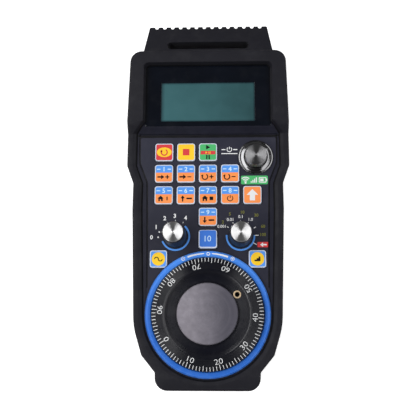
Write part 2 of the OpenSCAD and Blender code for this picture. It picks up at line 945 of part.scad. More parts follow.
module battery_cover() {
    color([0.14, 0.14, 0.16]) place() difference() {
        block([-cover_x, cover_x], [cover_y0, cover_y1], [back_z, back_z + cover_t]);
        // Finger grooves
        for (i = [0 : 6]) {
            x = 8 - i * 0.4;
            y = cover_y0 + 3 + i * 1.5;
            block([-x, x], [y, y + 0.7], [0, back_z + 0.4]);
        }
    }
}

// ---- Keys ----

module key_cap(i) {
    p = key_places[i];
    w = i < len(key_names) - 2 ? key_w : side_key_w;
    top = panel_z + key_rise;
    color(key_colors[i]) place() difference() {
        translate([p.x, p.y, 0]) {
            translate([0, 0, key_flange_z + key_flange_t])
                linear_extrude(top - 0.3 - key_flange_z - key_flange_t)
                rounded_square(w, key_corner);
            translate([0, 0, top - 0.3]) linear_extrude(0.3) rounded_square(w - 0.3, key_corner - 0.15);
            translate([0, 0, key_flange_z]) linear_extrude(key_flange_t) rounded_square(w + 1.4, key_corner);
            rod(stem_w / 2, key_flange_z - 0.1, key_flange_z);
        }
        rod(bezel_r + 0.55, panel_z - 2, head_z);
        rod(recess_r + 0.4, 0, ceiling_z);
    }
}

for (i = [0 : len(key_names) - 1]) key_cap(i);
rubber_jacket();
front_shell();
rear_shell();
case_gasket();
case_screws();
case_inserts();
panel_overlay();
display_lens();
lcd_glass();
lcd_frame();
lcd_board();
lcd_flex();
main_board();
tact_switches();
radio_module();
board_screws();
wheel_bezel();
encoder_housing();
encoder_cover();
encoder_board();
encoder_lead();
encoder_screws();
shaft_bearings();
wheel_dial();
wheel_disc();
crank_insert();
wheel_shaft();
code_disc();
wheel_set_screw();
axis_switch();
step_switch();
panel_nuts();
axis_shaft();
axis_knob();
axis_knob_cap();
step_shaft();
step_knob();
step_knob_cap();
power_bezel();
power_switch();
power_button();
batteries();
battery_contacts();
battery_cover();
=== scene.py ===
"""Handheld pulse generator pendant: finishes, printed marks, the moulded jacket and a plain stage.

Outlines are in millimetres from the handwheel's axis, as on a drawing. Heights are above the
surface that the pendant lies on.
"""

import math
from functools import cache

import bmesh
import bpy
from bpy.props import FloatProperty, FloatVectorProperty, PointerProperty
from mathutils import Matrix, Vector
from mathutils.geometry import delaunay_2d_cdt, intersect_line_sphere_2d


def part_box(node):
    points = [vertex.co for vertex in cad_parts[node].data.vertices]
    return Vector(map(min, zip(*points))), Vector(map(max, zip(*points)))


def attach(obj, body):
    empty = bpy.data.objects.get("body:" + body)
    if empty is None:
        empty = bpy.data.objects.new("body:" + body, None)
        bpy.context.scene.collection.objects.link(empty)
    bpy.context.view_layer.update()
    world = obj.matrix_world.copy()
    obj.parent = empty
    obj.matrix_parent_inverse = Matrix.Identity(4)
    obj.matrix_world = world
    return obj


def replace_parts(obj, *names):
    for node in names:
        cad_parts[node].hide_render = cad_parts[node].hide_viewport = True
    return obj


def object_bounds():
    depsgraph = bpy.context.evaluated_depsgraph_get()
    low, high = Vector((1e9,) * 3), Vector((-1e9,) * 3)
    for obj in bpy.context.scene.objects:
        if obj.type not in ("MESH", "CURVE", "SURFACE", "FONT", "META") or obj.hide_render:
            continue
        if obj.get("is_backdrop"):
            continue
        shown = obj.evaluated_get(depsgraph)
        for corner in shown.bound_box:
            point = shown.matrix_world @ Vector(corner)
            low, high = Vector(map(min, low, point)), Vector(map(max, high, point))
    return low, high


bl_info = {
    "name": "Pulse generator pendant",
    "version": (1, 0, 0),
    "blender": (4, 5, 0),
    "location": "View3D > Sidebar > Pendant",
    "description": "Dresses the framed model of a handwheel pendant and sets a stage for it",
    "category": "Object",
}

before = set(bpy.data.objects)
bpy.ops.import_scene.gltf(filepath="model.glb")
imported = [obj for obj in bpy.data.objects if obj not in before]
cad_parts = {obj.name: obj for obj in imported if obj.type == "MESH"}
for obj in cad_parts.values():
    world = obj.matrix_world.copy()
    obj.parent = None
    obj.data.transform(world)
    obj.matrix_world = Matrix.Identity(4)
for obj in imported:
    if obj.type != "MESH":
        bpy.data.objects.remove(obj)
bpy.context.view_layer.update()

MM = 0.001
BODY = "pendant"


def middle(node):
    low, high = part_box(node)
    return (low + high) / 2


AXIS = middle("wheel_dial")


def plan(node):
    """Centre of a node from above, in mm from the handwheel's axis."""
    point = (middle(node) - AXIS) / MM
    return Vector((point.x, point.y))


def height(node):
    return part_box(node)[1].z / MM


PANEL_Z = height("panel_overlay")
LENS_Z = height("display_lens")
BACK_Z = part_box("rear_shell")[0].z / MM
BEZEL_R = (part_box("wheel_bezel")[1].x - AXIS.x) / MM
AXIS_KNOB = plan("axis_knob")
STEP_KNOB = plan("step_knob")
KEYS = [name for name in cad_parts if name.startswith("key_")]


def setting(group, name):
    return getattr(getattr(bpy.context.scene, "pendant_" + group), name)


def in_mm(group, name):
    return setting(group, name) / MM


# Settings


def length(name, description, default_mm):
    return FloatProperty(
        name=name, description=description, default=default_mm * MM, unit="LENGTH", precision=5
    )


def tint(name, description, default):
    return FloatVectorProperty(
        name=name, description=description, default=default, subtype="COLOR", min=0.0, max=1.0
    )


class PendantJacket(bpy.types.PropertyGroup):
    """Sizes of the moulded rubber jacket"""

    end_radius: length("End radius", "Radius of the round end about the handwheel's axis", 40.2)
    rim_rise: length("Rim rise", "Height of the rim above the control panel", 2.0)
    head_rise: length("Head rise", "Height of the display head above the control panel", 7.0)
    wall: length("Wall", "Thickness of the rubber round the sides", 2.4)
    flat: length("Flat rim", "Width of the flat rim before its inner bevel", 2.9)
    lip: length("Lip", "Width of rubber that laps over the casing", 5.5)
    back_lip: length("Back lip", "Width of rubber that laps round the back", 6.0)
    edge_radius: length("Edge radius", "Radius of the moulded outer edges", 1.1)
    tooth_pitch: length("Tooth pitch", "Distance between the teeth of the top bar", 4.6)
    slot_length: length("Slot length", "Length of the strap slot", 46.6)
    slot_width: length("Slot width", "Width of the strap slot", 4.6)


class PendantMarks(bpy.types.PropertyGroup):
    """Sizes of the printed marks"""

    key_border: length("Key border", "Pale border left round the print of a key", 0.42)
    tick_width: length("Tick width", "Width of a division line on the dial", 0.31)
    figure_height: length("Dial figures", "Height of the figures on the dial", 2.85)
    label_height: length("Labels", "Height of the figures round the knobs", 1.9)
    ink_thickness: length("Ink thickness", "Thickness of a layer of ink", 0.03)


class PendantColors(bpy.types.PropertyGroup):
    """Colours of the finishes, as linear values"""

    rubber: tint("Rubber", "Jacket rubber", (0.0050, 0.0049, 0.0092))
    casing: tint("Casing", "Moulded shells", (0.0085, 0.0090, 0.0180))
    overlay: tint("Overlay", "Printed panel film", (0.0200, 0.0208, 0.0355))
    lens: tint("Lens", "Printed border of the display lens", (0.0008, 0.0020, 0.0056))
    lcd: tint("Display", "Unlit liquid crystal", (0.043, 0.125, 0.138))
    ring: tint("Ring", "Fixed ring round the handwheel", (0.029, 0.150, 0.600))
    dial: tint("Dial", "Handwheel dial", (0.0040, 0.0043, 0.0080))
    disc: tint("Disc", "Metal disc of the handwheel", (0.380, 0.355, 0.405))
    brass: tint("Brass", "Threaded inserts", (0.74, 0.56, 0.36))
    steel: tint("Steel", "Shafts and screws", (0.60, 0.60, 0.61))
    white: tint("White ink", "White printing", (0.80, 0.81, 0.82))
    olive: tint("Olive ink", "Second scale of the step knob", (0.155, 0.155, 0.034))
    edge: tint("Key edge", "Pale edge of the keys", (0.60, 0.65, 0.76))
    red: tint("Red", "Red printing", (0.66, 0.050, 0.055))
    yellow: tint("Yellow", "Yellow printing", (0.95, 0.60, 0.030))
    green: tint("Green", "Green printing", (0.075, 0.455, 0.150))
    blue: tint("Blue", "Blue printing", (0.095, 0.310, 0.820))
    deep_blue: tint("Deep blue", "Plain blue key", (0.050, 0.180, 0.640))
    orange: tint("Orange", "Orange printing", (0.95, 0.300, 0.085))
    pale: tint("Pale ink", "Pale figures on blue", (0.60, 0.80, 0.95))
    # Black ink also paints the shadow band along the panel film's edge.
    black: tint("Black ink", "Dark printing", (0.0028, 0.0028, 0.0050))
    floor: tint("Floor", "Floor and backdrop", (0.86, 0.86, 0.86))


class PendantLight(bpy.types.PropertyGroup):
    """Lamps and camera"""

    side_lamps: FloatProperty(
        name="Side lamps", description="Power of the two side lamps", default=6.9, unit="POWER"
    )
    horizon: FloatProperty(
        name="Horizon", description="Strength of the light from low down", default=0.32, min=0
    )
    overhead: FloatProperty(
        name="Overhead", description="Strength of the light from above", default=0.07, min=0
    )
    focal: FloatProperty(name="Focal length", description="Lens of the camera, in mm", default=57.1)


# Shader tools


def feed(tree, socket, value):
    """Links an output to a socket, or sets a number or colour on it."""
    if isinstance(value, bpy.types.NodeSocket):
        tree.links.new(value, socket)
    elif socket.type == "RGBA" and len(value) == 3:
        socket.default_value = (*value, 1.0)
    else:
        socket.default_value = value


def tinted(color, *factors, plus=0.0):
    """A colour times one factor, or times one for each channel."""
    return [min(1.0, c * k + plus) for c, k in zip(color, factors * (3 // len(factors)))]


class Nodes:
    """Short calls that make and wire the nodes of a tree. Textures follow its point."""

    def __init__(self, tree):
        self.tree = tree

    def node(self, kind, settings=None, **inputs):
        made = self.tree.nodes.new("ShaderNode" + kind)
        for key, value in (settings or {}).items():
            setattr(made, key, value)
        for key, value in inputs.items():
            feed(self.tree, made.inputs[key.replace("_", " ")], value)
        return made

    def calc(self, kind, settings, *values, output=0):
        """An output of a node whose first inputs take these values."""
        made = self.node(kind, settings)
        for socket, value in zip(made.inputs, values):
            feed(self.tree, socket, value)
        return made.outputs[output]

    def math(self, operation, *values):
        return self.calc("Math", {"operation": operation}, *values)

    def remap(self, value, low, high, start=0.0, end=1.0):
        """value from the range start..end to the range low..high."""
        return self.calc("MapRange", {}, value, start, end, low, high)

    def step(self, value, low, high):
        """0 below low and 1 above high, with a soft change between them."""
        return self.calc("MapRange", {"interpolation_type": "SMOOTHSTEP"}, value, low, high)

    def along(self, axis, vector=None):
        """One coordinate of the point, or of another vector."""
        return self.node("SeparateXYZ", Vector=vector or self.point).outputs[axis]

    def noise(self, scale, detail=4.0, roughness=0.6, point=None):
        more = {"Scale": scale, "Detail": detail, "Roughness": roughness}
        return self.node("TexNoise", Vector=point or self.point, **more).outputs[0]

    def cells(self, scale, **settings):
        return self.node("TexVoronoi", settings, Vector=self.point, Scale=scale).outputs


class Group(Nodes):
    """A shader node group that takes a Point and named values, and gives masks."""

    def __init__(self, name, **values):
        super().__init__(bpy.data.node_groups.new(name, "ShaderNodeTree"))
        for key, value in {"Point": (0.0, 0.0, 0.0), **values}.items():
            kind = "NodeSocketFloat" if isinstance(value, float) else "NodeSocketVector"
            self.socket(key.replace("_", " "), "INPUT", kind).default_value = value
        self.given = self.tree.nodes.new("NodeGroupInput").outputs
        self.point = self.given["Point"]

    def socket(self, name, way, kind="NodeSocketFloat"):
        return self.tree.interface.new_socket(name=name, in_out=way, socket_type=kind)

    def per_metre(self, size):
        return self.math("DIVIDE", 1.0, self.given[size])

    def give(self, **outputs):
        """Ends the group with its outputs."""
        for name in outputs:
            self.socket(name, "OUTPUT")
        result = self.tree.nodes.new("NodeGroupOutput").inputs
        for name, output in outputs.items():
            feed(self.tree, result[name], output)
        return self.tree


@cache
def moulded_grain():
    """Spark-eroded grain of a mould, with a slow drift in tone."""
    g = Group("moulded grain", Grain_Size=0.0003)
    scale = g.per_metre("Grain Size")
    pits = g.math("MULTIPLY", g.step(g.cells(scale)["Distance"], 0.1, 0.75), 0.5)
    drift = g.step(g.noise(55.0), 0.3, 0.72)
    return g.give(Height=g.math("ADD", pits, g.noise(scale, 3.0)), Drift=drift)


@cache
def edge_wear():
    """Rubbed outer edges, broken into patches."""
    g = Group("edge wear", Amount=0.5, Patch_Size=0.004)
    edge = g.step(g.node("NewGeometry").outputs["Pointiness"], 0.512, 0.60)
    broken = g.step(g.noise(g.per_metre("Patch Size"), 5.0), 0.38, 0.68)
    return g.give(Mask=g.math("MULTIPLY", g.math("MULTIPLY", edge, broken), g.given["Amount"]))


@cache
def settled_dust():
    """Film and specks of dust on faces that look up."""
    g = Group("settled dust", Amount=0.3)
    up = g.along("Z", g.node("NewGeometry").outputs["Normal"])
    facing = g.math("MULTIPLY", g.step(up, 0.2, 0.95), g.given["Amount"])
    specks = g.cells(620.0)
    dot = g.math("SUBTRACT", 1.0, g.step(specks["Distance"], 0.03, 0.12))
    rare = g.math("MULTIPLY", dot, g.step(specks["Color"], 0.72, 0.80))
    film = g.math("MULTIPLY", g.step(g.noise(130.0, 6.0), 0.45, 0.8), 0.5)
    return g.give(Mask=g.math("MULTIPLY", g.math("ADD", film, rare), facing))


@cache
def hand_smudges():
    """Where hands have dulled or polished a surface."""
    g = Group("hand smudges", Size=0.012)
    return g.give(Mask=g.step(g.noise(g.per_metre("Size"), 5.0), 0.33, 0.7))


@cache
def turned_marks():
    """Concentric tool marks about an upright axis through Centre."""
    g = Group("turned marks", Centre=(0.0, 0.0, 0.0), Pitch=0.0002)
    away = g.calc("VectorMath", {"operation": "SUBTRACT"}, g.point, g.given["Centre"])
    radius = g.math("SQRT", g.math("ADD", *(g.math("POWER", g.along(a, away), 2.0) for a in "XY")))
    line = g.node("CombineXYZ", X=g.math("DIVIDE", radius, g.given["Pitch"])).outputs[0]
    tone = g.step(g.noise(0.12, 3.0, point=line), 0.3, 0.7)
    return g.give(Height=g.noise(1.0, 2.0, point=line), Tone=tone, Radius=radius)


@cache
def brushed_lines():
    """Fine straight scratches along X."""
    g = Group("brushed lines", Width=0.0001)
    across = g.math("DIVIDE", g.along("Y"), g.given["Width"])
    line = g.node("CombineXYZ", X=g.math("MULTIPLY", g.along("X"), 60.0), Y=across).outputs[0]
    return g.give(Height=g.noise(1.0, 2.0, point=line))


@cache
def board_tracks():
    """Copper tracks and vias under the solder mask of a circuit board."""
    g = Group("board tracks", Pitch=0.0012)
    scale = g.per_metre("Pitch")
    track = g.step(g.cells(scale, distance="CHEBYCHEV")["Distance"], 0.42, 0.46)
    dots = g.cells(g.math("MULTIPLY", scale, 0.5))["Distance"]
    return g.give(Track=track, Pad=g.math("SUBTRACT", 1.0, g.step(dots, 0.14, 0.17)))


class Finish(Nodes):
    """A material, and short calls that feed its Principled BSDF."""

    def __init__(self, name, color, rough=0.5, metal=0.0, **more):
        self.material = bpy.data.materials.new(name)
        self.material.use_nodes = True
        self.material.diffuse_color = (*color, 1.0)
        super().__init__(self.material.node_tree)
        self.bsdf = next(n for n in self.tree.nodes if n.type == "BSDF_PRINCIPLED")
        self.base = tuple(color)
        self.set(Base_Color=self.base, Roughness=rough, Metallic=metal, **more)
        self.point = self.node("TexCoord").outputs["Object"]

    def set(self, **sockets):
        for name, value in sockets.items():
            feed(self.tree, self.bsdf.inputs[name.replace("_", " ")], value)
        return self

    def color(self, output):
        return self.set(Base_Color=output)

    def bump(self, relief, depth):
        """Relief of a depth in metres."""
        made = self.node("Bump", Height=relief, Distance=depth, Strength=1.0)
        return self.set(Normal=made.outputs["Normal"])

    def turn(self, spread):
        """Stretches the highlight across marks turned about the object's upright axis."""
        tangent = self.node("Tangent", {"direction_type": "RADIAL", "axis": "Z"}).outputs[0]
        return self.set(Anisotropic=spread, Anisotropic_Rotation=0.25, Tangent=tangent)

    def group(self, make, **inputs):
        """Outputs of a shared group."""
        return self.node("Group", {"node_tree": make()}, Point=self.point, **inputs).outputs

    def mix(self, mask, low, high):
        """A colour that goes from low to high with the mask."""
        made = self.node("Mix", {"data_type": "RGBA"})
        for index, value in ((0, mask), (6, low), (7, high)):
            feed(self.tree, made.inputs[index], value)
        return made.outputs[2]

    def shade(self, mask, low, high):
        """Lets the base colour drift between two multiples of itself."""
        return self.mix(mask, tinted(self.base, low), tinted(self.base, high))

    def worn(self, color, amount, bare, patch=0.004):
        """A colour that is rubbed through to another along edges."""
        mask = self.group(edge_wear, Amount=amount, Patch_Size=patch)["Mask"]
        return self.mix(mask, color, bare)

    def dusty(self, color, amount, dust):
        return self.mix(self.group(settled_dust, Amount=amount)["Mask"], color, dust)

    def smudges(self, size=0.012):
        return self.group(hand_smudges, Size=size)["Mask"]

    def handled(self, low, high, size=0.012):
        """Lets the roughness go from low to high where hands have been."""
        return self.set(Roughness=self.remap(self.smudges(size), low, high))


# Finishes

DULL = {"Specular_IOR_Level": 0.2}
PALE_DUST = (0.30, 0.30, 0.31)
VIEW = (-0.1, 118.55), 53.0, 22.9     # window of the lens: middle, width and height


def moulded_plastic(
    name, color, rough=0.48, grain=0.00035, depth=0.00002, wear=0.25, dust=0.05, drift=0.12, **more
):
    """Moulded plastic or rubber: grain, rubbed edges and a little dust."""
    f = Finish(name, color, rough, **more)
    texture = f.group(moulded_grain, Grain_Size=grain)
    toned = f.shade(texture["Drift"], 1 - drift, 1 + drift)
    rubbed = f.worn(toned, wear, tinted(color, 1.7, plus=0.008))
    f.color(f.dusty(rubbed, dust, (0.20, 0.20, 0.20))).bump(texture["Height"], depth)
    return f.handled(rough - 0.06, rough + 0.07)


def casing_finish(colors):
    """Plastic of the casing, with a painted shadow in the seam between the panel film and the ledge
    above it.
    """
    f = moulded_plastic("casing plastic", colors.casing, 0.50, 0.00030, 0.00002, **DULL)
    plain = f.bsdf.inputs["Base Color"].links[0].from_socket
    up = f.along("Y")
    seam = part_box("panel_overlay")[1].y
    # Painted shadow: a near-black band from the film's top edge to just under the ledge.
    above = f.mix(f.remap(up, 0.0, 1.0, seam - 0.0003, seam), plain, (0.0008, 0.0008, 0.0012))
    return f.color(f.mix(f.remap(up, 0.0, 1.0, seam + 0.0007, seam + 0.0010), above, plain))


def printed_ink(name, color):
    """Screen-printed ink: a slightly uneven film."""
    f = Finish(name, color, 0.34, Specular_IOR_Level=0.3)
    texture = f.group(moulded_grain, Grain_Size=0.00022)
    f.color(f.shade(texture["Drift"], 0.93, 1.04)).bump(texture["Height"], 0.000004)
    return f.handled(0.29, 0.42, 0.006)


def plain_metal(name, color, rough):
    """Turned or drawn metal with fine marks and dull patches."""
    f = Finish(name, color, rough, 1.0)
    f.color(f.worn(f.shade(f.smudges(0.004), 0.82, 1.06), 0.5, tinted(color, 1.2), 0.002))
    f.bump(f.group(brushed_lines, Width=0.00008)["Height"], 0.000003)
    return f.handled(rough - 0.08, rough + 0.10, 0.004)


def turned_metal(name, color, node, rough, depth):
    """Metal turned about a node's own upright axis, with a stretched highlight."""
    f = Finish(name, color, rough, 1.0).turn(1.0)
    marks = f.group(turned_marks, Centre=middle(node), Pitch=0.00012)
    f.color(f.mix(f.smudges(0.005), f.shade(marks["Tone"], 0.93, 1.04), tinted(color, 0.96)))
    return f.bump(marks["Height"], depth).handled(rough - 0.01, rough + 0.02, 0.005)


def circuit_board(name, mask):
    """Solder mask over copper tracks, with tinned pads."""
    f = Finish(name, mask, 0.38, Coat_Weight=0.4, Coat_Roughness=0.2)
    copper = f.group(board_tracks)
    covered = f.mix(copper["Track"], mask, tinted(mask, 1.7, plus=0.01))
    f.color(f.mix(copper["Pad"], covered, (0.62, 0.60, 0.55))).bump(copper["Track"], 0.00002)
    return f.set(Roughness=f.remap(copper["Pad"], 0.38, 0.25))


def overlay_finish(colors):
    """Polyester film with a fine sanded face, printed dark slate and darker towards the bottom."""
    f = Finish("panel film", colors.overlay, 0.46, Specular_IOR_Level=0.22)
    texture = f.group(moulded_grain, Grain_Size=0.00025)
    # The film's colour goes darker towards the bottom and lighter towards the top.
    darker_at_bottom = f.shade(f.remap(f.along("Y"), 0.0, 1.0, -0.09, 0.04), 0.72, 1.08)
    drift = f.mix(f.remap(texture["Drift"], 0.0, 0.25), darker_at_bottom, tinted(colors.overlay, 1.15))
    f.color(f.dusty(drift, 0.05, PALE_DUST)).bump(texture["Height"], 0.000006)
    return f.handled(0.40, 0.52)


def lens_finish(colors):
    """Back-printed acrylic: black, polished, with a trace of handling."""
    f = Finish("lens black", colors.lens, 0.10, Coat_Weight=0.6, Coat_Roughness=0.04)
    f.color(f.dusty(f.shade(f.smudges(0.018), 0.9, 1.2), 0.03, (0.25, 0.25, 0.26)))
    return f.handled(0.09, 0.17, 0.018)


def lcd_finish(colors):
    """Unlit display: teal with painted shade that darkens it to the right and towards its top, a
    painted shadow along its edges, and a faint grid.
    """
    low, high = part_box("lcd_glass")
    f = Finish("display glass", colors.lcd, 0.16, Coat_Weight=0.7, Coat_Roughness=0.05)
    # Painted shade: lighter on the left, darker to the right.
    tone = f.shade(f.remap(f.along("X"), 0.0, 1.0, low.x, high.x), 1.12, 0.50)
    # Painted shade: darker towards the top, under the display head.
    up = f.remap(f.along("Y"), 0.0, 1.0, low.y, high.y)
    tone = f.mix(f.remap(up, 0.0, 0.35), tone, tinted(colors.lcd, 0.62))
    (x, y), wide, tall = VIEW
    # Painted shadow of the lens border along the window's edges, widest on the left.
    for axis, centre, half, origin in (("X", x, wide / 2, AXIS.x), ("Y", y, tall / 2, AXIS.y)):
        for side in (-1, 1):
            edge = origin + (centre + side * half) * MM
            soft = 0.0022 if (axis, side) == ("X", -1) else 0.0012
            shadow = f.remap(f.along(axis), 0.0, 0.85, edge - side * soft, edge)
            tone = f.mix(shadow, tone, (0.006, 0.014, 0.022))
    grid = f.node(
        "TexBrick", {"offset": 0.0, "squash": 1.0}, Vector=f.point, Scale=1.0,
        Brick_Width=0.00040, Row_Height=0.00040, Mortar_Size=0.00003,
    ).outputs["Fac"]
    tone = f.mix(f.remap(grid, 0.0, 0.22), tone, tinted(colors.lcd, 0.5))
    f.color(f.mix(f.remap(f.smudges(0.02), 0.0, 0.12), tone, tinted(colors.lcd, 1.8)))
    return f.handled(0.12, 0.22, 0.01)


def ring_finish(colors):
    """Anodised aluminium of the fixed ring, with a painted highlight that makes it lighter towards
    its top.
    """
    f = Finish("anodised ring", colors.ring, 0.36, 0.1, **DULL)
    marks = f.group(turned_marks, Centre=middle("wheel_bezel"), Pitch=0.00012)
    low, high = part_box("wheel_bezel")
    # Painted highlight: a lighter, paler blue over the upper part of the ring.
    up = f.remap(f.along("Y"), 0.0, 1.0, low.y + 0.55 * (high.y - low.y), high.y - 0.004)
    toned = f.mix(up, f.shade(marks["Tone"], 0.92, 1.08), tinted(colors.ring, 2.6, 1.9, 1.5))
    f.color(f.worn(toned, 0.45, (0.16, 0.32, 0.72), 0.003)).bump(marks["Height"], 0.000003)
    return f.handled(0.28, 0.42)


def dial_finish(colors):
    """Glossy black dial, turned, with edges rubbed by handling."""
    f = Finish("dial black", colors.dial, 0.3, Specular_IOR_Level=0.4).turn(0.85)
    marks = f.group(turned_marks, Centre=middle("wheel_dial"), Pitch=0.00010)
    toned = f.worn(f.shade(marks["Tone"], 0.85, 1.2), 0.25, (0.10, 0.10, 0.11), 0.003)
    f.color(f.dusty(toned, 0.04, PALE_DUST)).bump(marks["Height"], 0.000001)
    return f.handled(0.27, 0.33, 0.009)


def disc_finish(colors):
    """Lapped metal disc: mottled and dull, with painted shade that darkens it to the right."""
    f = Finish("disc metal", colors.disc, 0.40, 0.85)
    mottle = f.noise(260.0, 7.0, 0.75)
    base = f.shade(f.remap(mottle, 0.0, 1.0, 0.30, 0.72), 0.82, 1.18)
    base = f.mix(f.remap(f.smudges(0.011), 0.0, 0.45), base, tinted(colors.disc, 0.62))
    low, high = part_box("wheel_disc")
    wide = high.x - low.x
    # Painted shade: the disc darkens from left to right.
    across = f.remap(f.along("X"), 0.0, 1.0, low.x + 0.2 * wide, low.x + 0.8 * wide)
    base = f.mix(across, base, tinted(colors.disc, 0.33, 0.34, 0.375))
    tone = f.group(turned_marks, Centre=middle("wheel_disc"), Pitch=0.00025)["Tone"]
    f.color(f.mix(f.remap(tone, 0.0, 0.08), base, tinted(colors.disc, 1.25)))
    f.bump(f.group(moulded_grain, Grain_Size=0.00045)["Height"], 0.000003)
    return f.set(Roughness=f.remap(mottle, 0.36, 0.48))


def insert_finish(colors):
    """Brass of the insert in the dial, with painted shade down its threaded hole."""
    f = Finish("insert brass", colors.brass, 0.42, 0.7)
    radius = f.group(turned_marks, Centre=middle("crank_insert"), Pitch=0.0001)["Radius"]
    # Painted shade: near black inside the threaded hole.
    hole_shade = f.remap(radius, 0.0, 1.0, 0.00125, 0.00138)
    return f.color(f.mix(hole_shade, (0.012, 0.010, 0.008), colors.brass)).handled(0.36, 0.48, 0.003)


def ribbon_finish(name, color):
    """Flat cable with its separate cores, with painted shade in the grooves between them and a
    painted highlight on their crests.
    """
    f = Finish(name, color, 0.42)
    wave = f.math("SINE", f.math("MULTIPLY", f.along("X"), 6283.0))
    # Painted shade and highlight: the tone follows the ridges of the cores.
    cores = f.remap(wave, 0.0, 1.0, -1.0, 1.0)
    return f.color(f.shade(cores, 0.55, 1.15)).bump(cores, 0.0001).handled(0.36, 0.5, 0.003)


def cell_finish():
    """Shrink sleeve of a dry cell, with a plain band at one end."""
    f = Finish("cell sleeve", (0.060, 0.065, 0.075), 0.24, Coat_Weight=0.6, Coat_Roughness=0.1)
    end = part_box("batteries")[0].y
    band = f.remap(f.along("Y"), 0.0, 1.0, end + 0.0148, end + 0.0150)
    toned = f.shade(f.group(moulded_grain, Grain_Size=0.0004)["Drift"], 0.9, 1.12)
    return f.color(f.mix(band, (0.42, 0.30, 0.14), toned)).handled(0.20, 0.32)


def glass_finish():
    f = Finish("panel glass", (0.10, 0.16, 0.16), 0.08)
    return f.color(f.shade(f.smudges(), 0.9, 1.1))


@cache
def finishes():
    """Every finish of the pendant by its name here."""
    colors = bpy.context.scene.pendant_colors
    made = {
        "rubber": moulded_plastic(
            "jacket rubber", colors.rubber, 0.60, 0.00042, 0.000020, 0.40, 0.07, 0.07,
            Sheen_Weight=0.03, Sheen_Roughness=0.5, Specular_IOR_Level=0.24,
        ),
        "casing": casing_finish(colors),
        # Painted shade: a darker copy of the jacket rubber for the lip wall, as the shadow line
        # between the jacket and the casing.
        "lip": moulded_plastic("jacket lip", tinted(colors.rubber, 0.25), 0.7, **DULL),
        "gasket": moulded_plastic("gasket silicone", (0.09, 0.09, 0.095), 0.6, 0.0005),
        "overlay": overlay_finish(colors),
        "lens": lens_finish(colors),
        "lcd": lcd_finish(colors),
        "ring": ring_finish(colors),
        "dial": dial_finish(colors),
        "disc": disc_finish(colors),
        "knob": moulded_plastic(
            "knob plastic", (0.0085, 0.0085, 0.0095), 0.34, 0.00028, 0.00001, 0.5, 0.1
        ),
        "button": turned_metal(
            "button metal", (0.36, 0.36, 0.37), "power_button", 0.30, 0.0000003
        ),
        "insert": insert_finish(colors),
        "component": moulded_plastic("component plastic", (0.020, 0.020, 0.021), 0.42, 0.0003),
        "green_board": circuit_board("green board", (0.010, 0.085, 0.030)),
        "blue_board": circuit_board("blue board", (0.010, 0.035, 0.160)),
        "flex": ribbon_finish("display flex", (0.46, 0.20, 0.045)),
        "ribbon": ribbon_finish("ribbon cable", (0.30, 0.30, 0.31)),
        "glass": glass_finish(),
        "cell": cell_finish(),
        "key_edge": moulded_plastic("key film", colors.edge, 0.36, 0.00025, 0.000008, 0.0, 0.06),
    }
    for knob in ("axis", "step"):
        made[knob + "_cap"] = turned_metal(
            knob + " cap", (0.96, 0.96, 0.97), knob + "_knob_cap", 0.31, 0.0000001
        )
    for finish, name, color, rough in (
        ("chrome", "bezel chrome", (0.16, 0.16, 0.165), 0.14),
        ("steel", "bright steel", colors.steel, 0.24),
        ("zinc", "zinc plate", (0.52, 0.52, 0.50), 0.34),
        ("black_oxide", "black oxide", (0.055, 0.055, 0.06), 0.36),
        ("brass", "turned brass", colors.brass, 0.24),
        ("die_cast", "die casting", (0.42, 0.42, 0.43), 0.46),
        ("nickel", "nickel plate", (0.58, 0.56, 0.52), 0.22),
        ("code_film", "code disc metal", (0.45, 0.41, 0.34), 0.30),
    ):
        made[finish] = plain_metal(name, color, rough)
    for ink in "white olive red yellow green blue deep_blue orange pale black".split():
        made[ink] = printed_ink(ink.replace("_", " ") + " ink", getattr(colors, ink))
    return made


def dress(**nodes):
    """Gives nodes of the model their finishes. Each finish takes the names of its nodes."""
    for finish, names in nodes.items():
        for name in names.split():
            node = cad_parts[name]
            if not node.material_slots:
                node.data.materials.append(None)
            for slot in node.material_slots:
                slot.material = finishes()[finish].material


# Outlines and meshes


def xy(x, y):
    return Vector((x, y))


def on_circle(radius, degrees):
    return xy(math.cos(math.radians(degrees)), math.sin(math.radians(degrees))) * radius


def circle(radius, steps):
    return [on_circle(radius, 360 * i / steps) for i in range(steps)]


def fillet(before, corner, after, radius, steps):
    """Points of the round that replaces a corner."""
    if not radius:
        return [corner]
    a = (before - corner).normalized()
    b = (after - corner).normalized()
    half = math.acos(max(-1.0, min(1.0, a.dot(b)))) / 2
    centre = corner + (a + b).normalized() * radius / math.sin(half)
    first = corner + a * radius / math.tan(half) - centre
    last = corner + b * radius / math.tan(half) - centre
    start = math.atan2(first.y, first.x)
    sweep = (math.atan2(last.y, last.x) - start + 3 * math.pi) % (2 * math.pi) - math.pi
    angles = (start + sweep * i / steps for i in range(steps + 1))
    return [centre + xy(math.cos(t), math.sin(t)) * radius for t in angles]


def rounded(corners, steps=8):
    """A closed outline from corners (x, y, radius)."""
    flat = [Vector(c[:2]) for c in corners]
    points = []
    for i, corner in enumerate(corners):
        points += fillet(flat[i - 1], flat[i], flat[(i + 1) % len(flat)], corner[2], steps)
    return points


def both_sides(right):
    """Both halves of an outline, from the corners of its right half."""
    return right + [(-x, y, r) for x, y, r in reversed(right)]


def box_outline(centre, width, height, radius):
    x, y, w, h = *centre, width / 2, height / 2
    corners = [(x + i * w, y + j * h, radius) for i, j in ((1, -1), (1, 1), (-1, 1), (-1, -1))]
    return rounded(corners, 5)


def with_rows(points, rows):
    """Adds a point wherever an outline crosses one of the rows, a list of y values."""
    result = []
    for a, b in zip(points, points[1:] + points[:1]):
        result.append(a)
        crossed = [y for y in rows if min(a.y, b.y) + 1e-6 < y < max(a.y, b.y) - 1e-6]
        for y in sorted(crossed, reverse=a.y > b.y):
            result.append(a.lerp(b, (y - a.y) / (b.y - a.y)))
    return result


